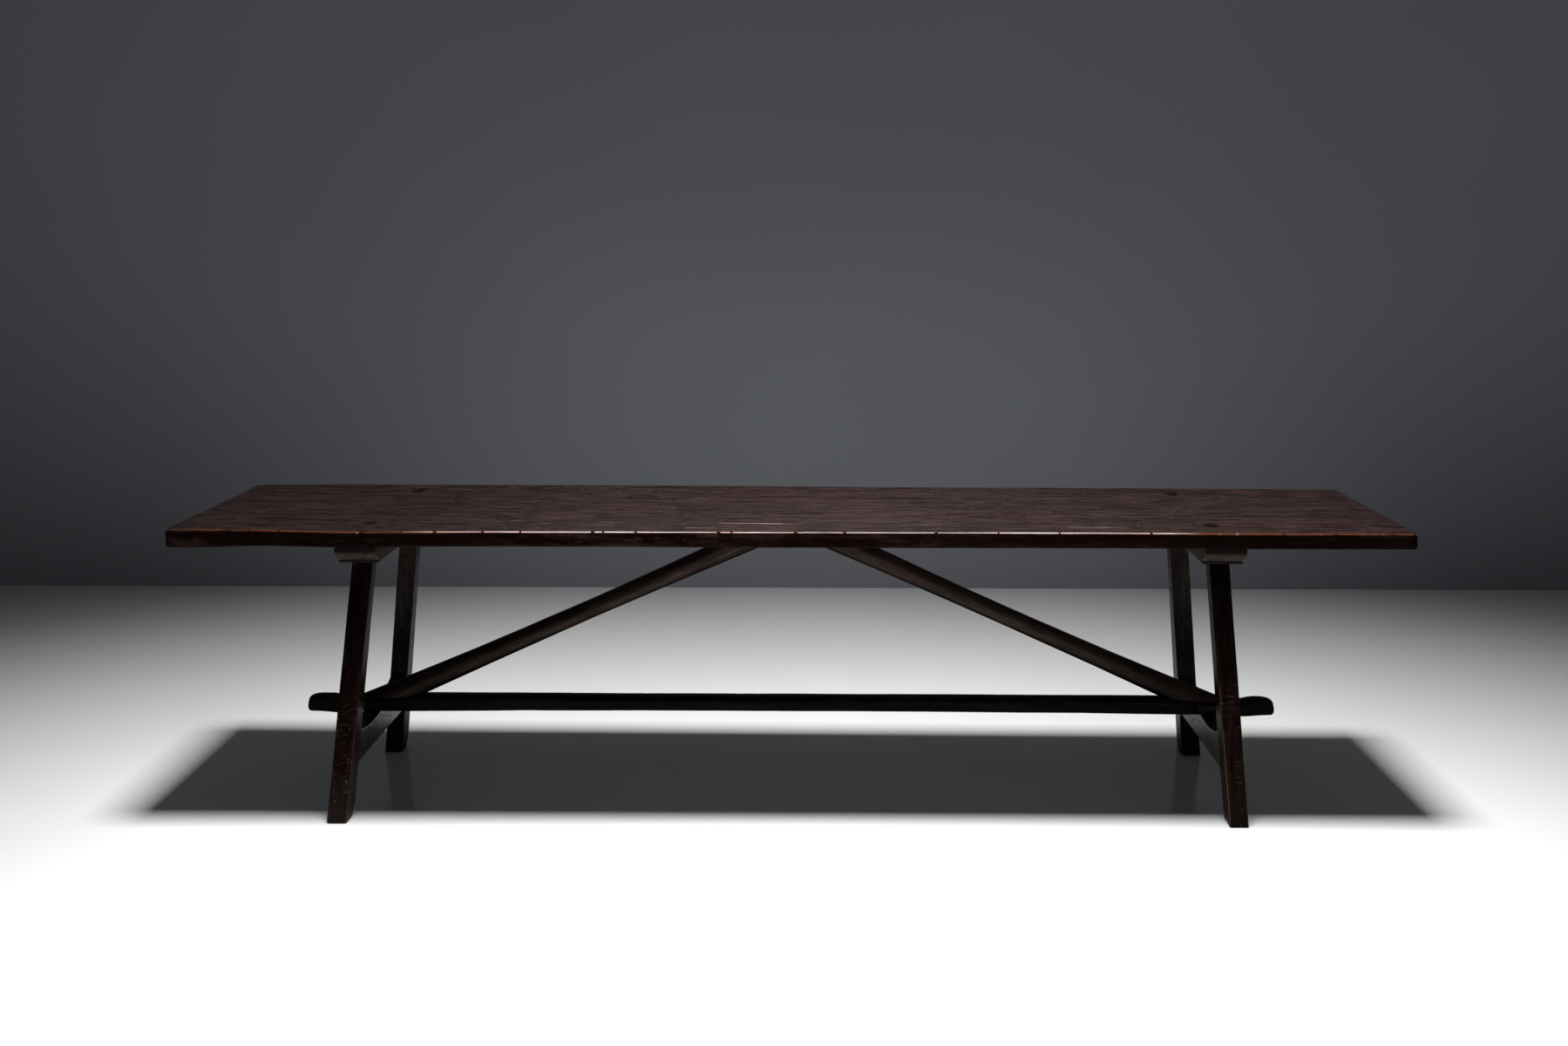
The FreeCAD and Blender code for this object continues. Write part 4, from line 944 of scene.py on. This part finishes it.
def build_stretcher():
    seed = 71
    left, right = -1.3150, 1.3035
    ends = [0, 0.0006, 0.0018, 0.0036, 0.0062, 0.0096, 0.0138, 0.0190, 0.0255, 0.0330, 0.0420, 0.0520]
    laps = []
    for key in ("left", "right"):
        k = SIDES[key]
        c = k["sign"] * (k["rail_x"] - 0.219 * math.tan(math.radians(k["lean"])))
        laps.append((c - 0.0208, c + 0.0208))
    xs = [left + e for e in ends] + [right - e for e in ends]
    fixed = [v for a, b in laps for v in (a - 0.0002, a, b, b + 0.0002)]
    for x in np.arange(left + 0.062, right - 0.061, 0.0085):
        if min(abs(x - f) for f in fixed) > 0.002:
            xs.append(x)
    xs = np.array(sorted(xs + fixed))
    S = len(xs)
    tip = np.where(xs < 0, xs - left, right - xs)
    a = np.abs(xs)
    high = stretcher_top(xs) + 0.0005 * noise(xs * 7, 0.5, 0.5, seed)
    low = 0.2083 - 0.0012 * ease((a - 0.2) / 0.5) - 0.0036 * ease((a - 0.65) / 0.45) + 0.0005 * noise(xs * 6, 3.5, 0.5, seed + 1)
    low = low - 0.0048 * ease((a - 1.17) / 0.05) + 0.0046 * ease((a - 1.215) / 0.085)
    side = 0.027 + 0.0005 * noise(xs * 5, 6.5, 0.5, seed + 2)
    arris_z = 0.2338 - 0.0035 * ease((a - 0.95) / 0.16) - 0.0022 * ease((a - 1.17) / 0.05)
    flat = 0.015 - 0.002 * ease((a - 1.17) / 0.06)
    # Rounded tips.
    u = np.clip(1 - tip / np.where(xs < 0, 0.036, 0.043), 0, 1)
    high = high - np.where(xs < 0, 0.0115, 0.0145) * (1 - np.sqrt(np.maximum(1 - u ** 2, 0)))
    arris_z = arris_z - 0.0050 * (1 - np.sqrt(np.maximum(1 - u ** 2, 0))) - 0.0010 * u
    v = np.clip(1 - tip / 0.010, 0, 1)
    low = low + 0.0085 * (1 - np.sqrt(np.maximum(1 - v ** 2, 0)))
    w = np.clip(1 - tip / 0.006, 0, 1)
    side = side - 0.0025 * (1 - np.sqrt(np.maximum(1 - w ** 2, 0)))
    flat = flat - 0.0040 * (1 - np.sqrt(np.maximum(1 - u ** 2, 0)))
    notch = np.zeros(S, bool)
    for p, q in laps:
        notch |= (xs > p - 1e-6) & (xs < q + 1e-6)
    low = np.where(notch, 0.2268, low)
    arris_z = np.maximum(arris_z, low + 0.002)
    corners = np.stack([np.stack([-side, low], 1), np.stack([side, low], 1), np.stack([side, arris_z], 1),
                        np.stack([flat, high], 1), np.stack([-flat, high], 1), np.stack([-side, arris_z], 1)], 1)
    swell = 1 + 0.4 * noise(xs * 11, 0.5, 5.5, seed + 3)
    radii = np.stack([0.0026 * swell, 0.0026 * swell, 0.0024 * swell, 0.0040 * swell, 0.0040 * swell, 0.0024 * swell], 1)
    radii = np.where(notch[:, None] & np.array([True, True, False, False, False, False])[None], 0.0003, radii)
    P2, arris, where = outline(corners, radii, [run(6, 0.05), run(5, 0.06), run(4, 0.08), run(5, 0.06), run(4, 0.08), run(5, 0.06)], arc=4)
    N = P2.shape[1]
    P = np.concatenate([np.broadcast_to(xs[:, None, None], (S, N, 1)), P2], 2)
    P = worn(P, arris, seed + 4, wave=0.0006, nick=0.0013, reach=0.028)
    # Painted sheen: the tips are paler on their upper faces.
    tips = 0.055 * ease((np.abs(P[..., 0]) - 1.185) / 0.03) * np.isin(where, (5, 6, 8, 9))[None, :]
    rub_and_painted_light = tips * (0.75 + 0.6 * noise(P[..., 0] * 20, P[..., 1] * 120, P[..., 2] * 120, seed + 5))
    Shape().loft(P, grain_of(P, 0, 1, 2, seed), arris, rub_and_painted_light).build(
        "long_rail_chamfered", STRETCH_WOOD, "walnut_frame", "long_stretcher")


# ------------------------------------------------------------------- braces
def hollow(x, ends, radius, up):
    """Height of a brace's edge: a chord from x = 1.257 to x = -0.017, hollowed."""
    t = (1.257 - x) / 1.274
    chord = ends[0] + (ends[1] - ends[0]) * t
    long = math.hypot(1.274, ends[1] - ends[0])
    sag = (long / 2) ** 2 / (2 * radius) * (1 - (2 * t - 1) ** 2)
    return chord + up * sag * long / 1.274


def build_brace(side):
    k = SIDES[side]
    sign, seed = k["sign"], k["seed"] + 18
    toe = k["toe"] + 0.015
    xs = np.concatenate([[0.0006, 0.0014, 0.0030, 0.0060], np.linspace(0.012, toe - 0.012, 150),
                         [toe - 0.008, toe - 0.005, toe - 0.0025, toe - 0.001, toe]])
    S = len(xs)
    upper = hollow(xs, k["upper"], 16.5, -1) + 0.0016
    lower = hollow(xs, k["lower"], 26.5, 1) - 0.0030 - (0.0015 if side == "left" else 0.0) * ease((xs - 0.6) / 0.3)
    slope = (k["upper"][1] - k["upper"][0]) / 1.274
    rise = math.hypot(1.0, slope)
    base = stretcher_top(sign * xs) - 0.0012
    wide = 0.029 + 0.0004 * noise(xs * 6, 0.5, 0.5, seed)
    wide = wide - 0.0030 * ease((0.010 - (toe - xs)) / 0.010) ** 2
    flat = wide - 0.016
    top, shoulder = upper, upper - 0.016 * rise
    knee, sole = lower + 0.0095 * rise, lower
    sole_flat = wide - 0.0095
    # Cut off at the underside of the top and on the long stretcher.
    ceiling = UNDER - 0.0003
    top_c = np.minimum(top, ceiling)
    flat_c = np.where(top > ceiling, np.minimum(flat + (top - ceiling) / rise, wide - 0.0004), flat)
    shoulder_c = np.minimum(shoulder, ceiling - 0.0006)
    sole_c = np.maximum(sole, base)
    sole_flat_c = np.where(sole < base, np.minimum(sole_flat + (base - sole) / rise, wide - 0.0003), sole_flat)
    knee_c = np.maximum(knee, base + 0.0005)
    shoulder_c = np.maximum(shoulder_c, knee_c + 0.0008)
    # Where the foot runs out, the upper chamfer meets the stretcher.
    lost = shoulder < base
    flat_c = np.minimum(flat_c, wide - 0.0009)
    side_c = np.where(lost, np.maximum(wide - (base - shoulder) / rise * 0.9, flat_c + 0.0008), wide)
    sole_flat_c = np.minimum(sole_flat_c, side_c - 0.0002)
    top_c = np.maximum(top_c, shoulder_c + 0.0008)
    corners = np.stack([np.stack([-sole_flat_c, sole_c], 1), np.stack([sole_flat_c, sole_c], 1),
                        np.stack([side_c, knee_c], 1), np.stack([side_c, shoulder_c], 1),
                        np.stack([flat_c, top_c], 1), np.stack([-flat_c, top_c], 1),
                        np.stack([-side_c, shoulder_c], 1), np.stack([-side_c, knee_c], 1)], 1)
    swell = 1 + 0.4 * noise(xs * 12, 0.5, 3.5, seed + 1)
    radii = np.stack([0.0018 * swell, 0.0018 * swell, 0.0090 * swell, 0.0190 * swell, 0.0050 * swell, 0.0050 * swell, 0.0190 * swell, 0.0090 * swell], 1)
    P2, arris, where = outline(corners, radii, [run(5, 0.05), run(3, 0.1), run(6, 0.05), run(4, 0.08), run(5, 0.06), run(4, 0.08), run(6, 0.05), run(3, 0.1)], arc=3)
    N = P2.shape[1]
    P = np.concatenate([np.broadcast_to(xs[:, None, None], (S, N, 1)), P2], 2)
    P = worn(P, arris, seed + 2, wave=0.0006, nick=0.0012, reach=0.028)
    P[..., 2] = np.minimum(P[..., 2], UNDER)
    # Painted shade and painted light by height: dark above, at the sole and towards the foot, with a paler lit band low
    # on the sides.
    height = (P[..., 2] - lower[:, None]) / (upper - lower)[:, None]
    if side == "left":
        rub_and_painted_light = np.interp(height, [0.0, 0.10, 0.20, 0.32, 0.44, 0.58, 0.72, 1.0], [-0.86, -0.64, -0.14, 0.15, -0.13, -0.54, -0.68, -0.62])
        rub_and_painted_light = rub_and_painted_light - 0.34 * ease((xs - 0.58) / 0.16)[:, None] * np.interp(height, [0.0, 0.20, 0.34], [1.0, 0.8, 0.0])
    else:
        rub_and_painted_light = np.interp(height, [0.0, 0.10, 0.22, 0.36, 0.50, 0.62, 0.80, 1.0], [-0.86, -0.66, -0.22, 0.02, -0.06, -0.28, -0.12, -0.30])
    rub_and_painted_light = rub_and_painted_light - (0.54 if side == "left" else 0.70) * ease((xs - 0.74) / 0.26)[:, None] * np.interp(height, [0.0, 0.35, 0.5, 1.0], [1.0, 0.9, 0.55, 0.35])
    rub_and_painted_light = np.clip(rub_and_painted_light + 0.13 * noise(P[..., 0] * 9, P[..., 1] * 40, P[..., 2] * 40, seed + 3), -1, 0.4)
    P, arris, rub_and_painted_light = mirrored(P, sign, arris, rub_and_painted_light)
    g = grain_of(P, 0, 1, 2, seed)
    tilt = sign * slope
    g = np.stack([g[..., 0] / rise - tilt * g[..., 2] / rise, g[..., 1], g[..., 2] / rise + tilt * g[..., 0] / rise], -1)
    Shape().loft(P, g, arris, rub_and_painted_light).build("brace_chamfered_" + side, BRACE_WOOD, "walnut_frame", "brace_" + side)


# --------------------------------------------------------------------- pegs
def add_peg(shape, start, finish, radius, seed, sign, proud=0.0):
    """Hand-cut peg with flat facets, worn round at its ends."""
    start, finish = np.array(start, float), np.array(finish, float)
    axis = finish - start
    long = float(np.linalg.norm(axis))
    axis = axis / long
    finish = finish + axis * proud
    long += proud
    guide = np.array([0.0, 1.0, 0.0]) if abs(axis[1]) < 0.7 else np.array([1.0, 0.0, 0.0])
    u = np.cross(guide, axis)
    u /= np.linalg.norm(u)
    v = np.cross(axis, u)
    tips = radius * np.array([0.0, 0.05, 0.15, 0.32])
    ts = np.concatenate([tips, np.linspace(0.5 * radius, long - 0.5 * radius, 8), long - tips[::-1]])
    dome = np.concatenate([[0.55, 0.80, 0.93, 0.985], np.ones(8), [0.985, 0.93, 0.80, 0.55]])
    S, facets = len(ts), 9
    turn = (np.arange(facets) + 0.25 * noise(np.arange(facets) * 3.7, 0.5, 0.5, seed)) / facets * 2 * math.pi
    reach = radius * (1.0 + 0.03 * noise(np.arange(facets) * 2.3, 4.5, 0.5, seed + 1))
    corner = np.stack([reach * np.cos(turn), reach * np.sin(turn)], 1)
    corners = corner[None] * dome[:, None, None]
    P2, arris, _ = outline(corners, radius * 0.35 * dome[:, None], [run(1)] * facets, arc=2)
    P = start + axis * ts[:, None, None] + u * P2[..., :1] + v * P2[..., 1:]
    g = np.stack([np.broadcast_to(ts[:, None], P2.shape[:2]), P2[..., 0], P2[..., 1]], -1) + seed * 0.37
    P, g, arris = mirrored(P, sign, g, arris * 0.4)
    shape.loft(P, g, arris)


def build_pegs(side):
    k = SIDES[side]
    sign, seed = k["sign"], k["seed"] + 30
    named = lambda text: text + "_" + side

    def finish(shape, name, node):
        shape.build(named(name), PEG_WOOD, "peg_wood", named(node))

    shape = Shape()
    for i, y in enumerate(k["peg_y"]):
        add_peg(shape, (TOP_PEG_X, y, 0.704), (TOP_PEG_X, y, 0.7562), 0.0088, seed + i, sign)
    finish(shape, "pegs_of_top", "top_pegs")

    shape = Shape()
    for i, y in enumerate((-0.298, 0.298)):
        add_peg(shape, (1.058, y, 0.688), (k["batten"] + 0.051, y, 0.688), 0.0045, seed + 3 + i, sign, 0.0012)
    finish(shape, "pegs_of_leg_tenons", "leg_tenon_pegs")

    shape = Shape()
    foot = sum(k["foot"]) / 2
    slope = (sum(k["foot"]) - sum(k["head"])) / 2 / BATTEN_LOW
    at = foot - slope * 0.178
    outer = k["foot"][1] + (k["head"][1] - k["foot"][1]) * 0.178 / BATTEN_LOW
    for i, y in enumerate((-0.306, 0.306)):
        add_peg(shape, (at - 0.020, y, 0.178), (outer, y, 0.178), 0.0045, seed + 6 + i, sign, 0.0012)
    finish(shape, "pegs_of_rail_tenons", "rail_tenon_pegs")

    shape = Shape()
    add_peg(shape, (k["lap_x"], 0, 0.185), (k["lap_x"], 0, 0.2400), 0.0055, seed + 9, sign)
    finish(shape, "peg_of_lap", "lap_peg")

    shape = Shape()
    tilt = math.radians(23.8)
    add_peg(shape, (1.0365, 0, 0.2275), (1.0365 + 0.060 * math.sin(tilt), 0, 0.2275 + 0.060 * math.cos(tilt)), 0.006, seed + 12, sign)
    finish(shape, "peg_of_brace_foot", "brace_foot_peg")

    shape = Shape()
    add_peg(shape, (0.052, 0, 0.690), (0.052, 0, 0.742), 0.006, seed + 15, sign)
    finish(shape, "peg_of_brace_head", "brace_head_peg")


build_top()
build_stretcher()
for key in ("left", "right"):
    build_batten(key)
    for spot in ("front", "rear"):
        build_leg(key, spot)
    build_rail(key)
    build_brace(key)
    build_pegs(key)


# -------------------------------------------------------------------- stage
def plain(name, low, high, rough, gloss):
    """Plain stage surface with a faint cloud in its colour."""
    g = Graph(name)
    cloud = g.noise(g.node("ShaderNodeTexCoord").outputs["Object"], detail=2, scale=0.7)
    shader = g.node("ShaderNodeBsdfPrincipled")
    g.put(shader.inputs["Base Color"], g.ramp(cloud, (0.3, low), (0.7, high)))
    shader.inputs["Roughness"].default_value = rough
    shader.inputs["Specular IOR Level"].default_value = gloss
    return g, shader


def build_stage():
    g, shader = plain("floor_pale", (0.78, 0.78, 0.78), (0.81, 0.81, 0.81), 0.12, 0.3)
    w, face = plain("backdrop_grey", (0.290, 0.305, 0.328), (0.310, 0.326, 0.350), 0.9, 0.2)
    # Both show only on the side that faces the table.
    for graph, surface in ((g, shader), (w, face)):
        clear = graph.node("ShaderNodeBsdfTransparent")
        both = graph.node("ShaderNodeMixShader")
        graph.put(both.inputs[0], graph.node("ShaderNodeNewGeometry").outputs["Backfacing"])
        graph.put(both.inputs[1], surface.outputs[0])
        graph.put(both.inputs[2], clear.outputs[0])
        out = graph.node("ShaderNodeOutputMaterial")
        graph.put(out.inputs["Surface"], both.outputs[0])
    for name, corners, material in (
            ("studio_floor", [(-12, -12, 0), (12, -12, 0), (12, 2.8, 0), (-12, 2.8, 0)], g.material),
            ("studio_backdrop", [(-12, 2.8, 0), (12, 2.8, 0), (12, 2.8, 7), (-12, 2.8, 7)], w.material)):
        mesh = bpy.data.meshes.new(name)
        mesh.from_pydata(corners, [], [(0, 1, 2, 3)])
        mesh.materials.append(material)
        piece = bpy.data.objects.new(name, mesh)
        SCENE.collection.objects.link(piece)


def build_light():
    world = bpy.data.worlds.new("studio_surround")
    world.use_nodes = True
    back = world.node_tree.nodes["Background"]
    back.inputs["Color"].default_value = (0.060, 0.061, 0.064, 1.0)
    back.inputs["Strength"].default_value = 1.0
    SCENE.world = world
    # One high soft light a little in front of the table, aimed at the floor before it.
    lamp = bpy.data.lights.new("softbox", "AREA")
    lamp.shape = "RECTANGLE"
    lamp.size, lamp.size_y = 1.44, 1.35
    lamp.spread = math.radians(67.0)
    lamp.energy = 165.0
    box = bpy.data.objects.new("softbox", lamp)
    box.location = (0.08, -0.95, 7.0)
    box.rotation_euler = (-math.atan2(0.30, 7.0), 0.0, 0.0)
    SCENE.collection.objects.link(box)


def build_camera():
    yaw, pitch, roll = (math.radians(v) for v in (-1.205, 9.062, -0.054))
    ahead = np.array([math.sin(yaw), math.cos(yaw), 0.0])
    level = np.array([math.cos(yaw), -math.sin(yaw), 0.0])
    rise = np.array([0.0, 0.0, 1.0])
    forward = ahead * math.cos(pitch) - rise * math.sin(pitch)
    up = rise * math.cos(pitch) + ahead * math.sin(pitch)
    right = level * math.cos(roll) + up * math.sin(roll)
    up = -level * math.sin(roll) + up * math.cos(roll)
    data = bpy.data.cameras.new("camera")
    data.sensor_fit = "HORIZONTAL"
    data.sensor_width = 36.0
    data.lens = 2200.0 / 1799.0 * 36.0
    data.clip_end = 100.0
    camera = bpy.data.objects.new("camera", data)
    turn = Matrix([[right[i], up[i], -forward[i]] for i in range(3)])
    camera.matrix_world = Matrix.Translation((0.0885, -5.0783, 1.5312)) @ turn.to_4x4()
    SCENE.collection.objects.link(camera)
    SCENE.camera = camera


build_stage()
build_light()
build_camera()
SCENE.view_settings.view_transform = "Standard"

bpy.context.view_layer.update()
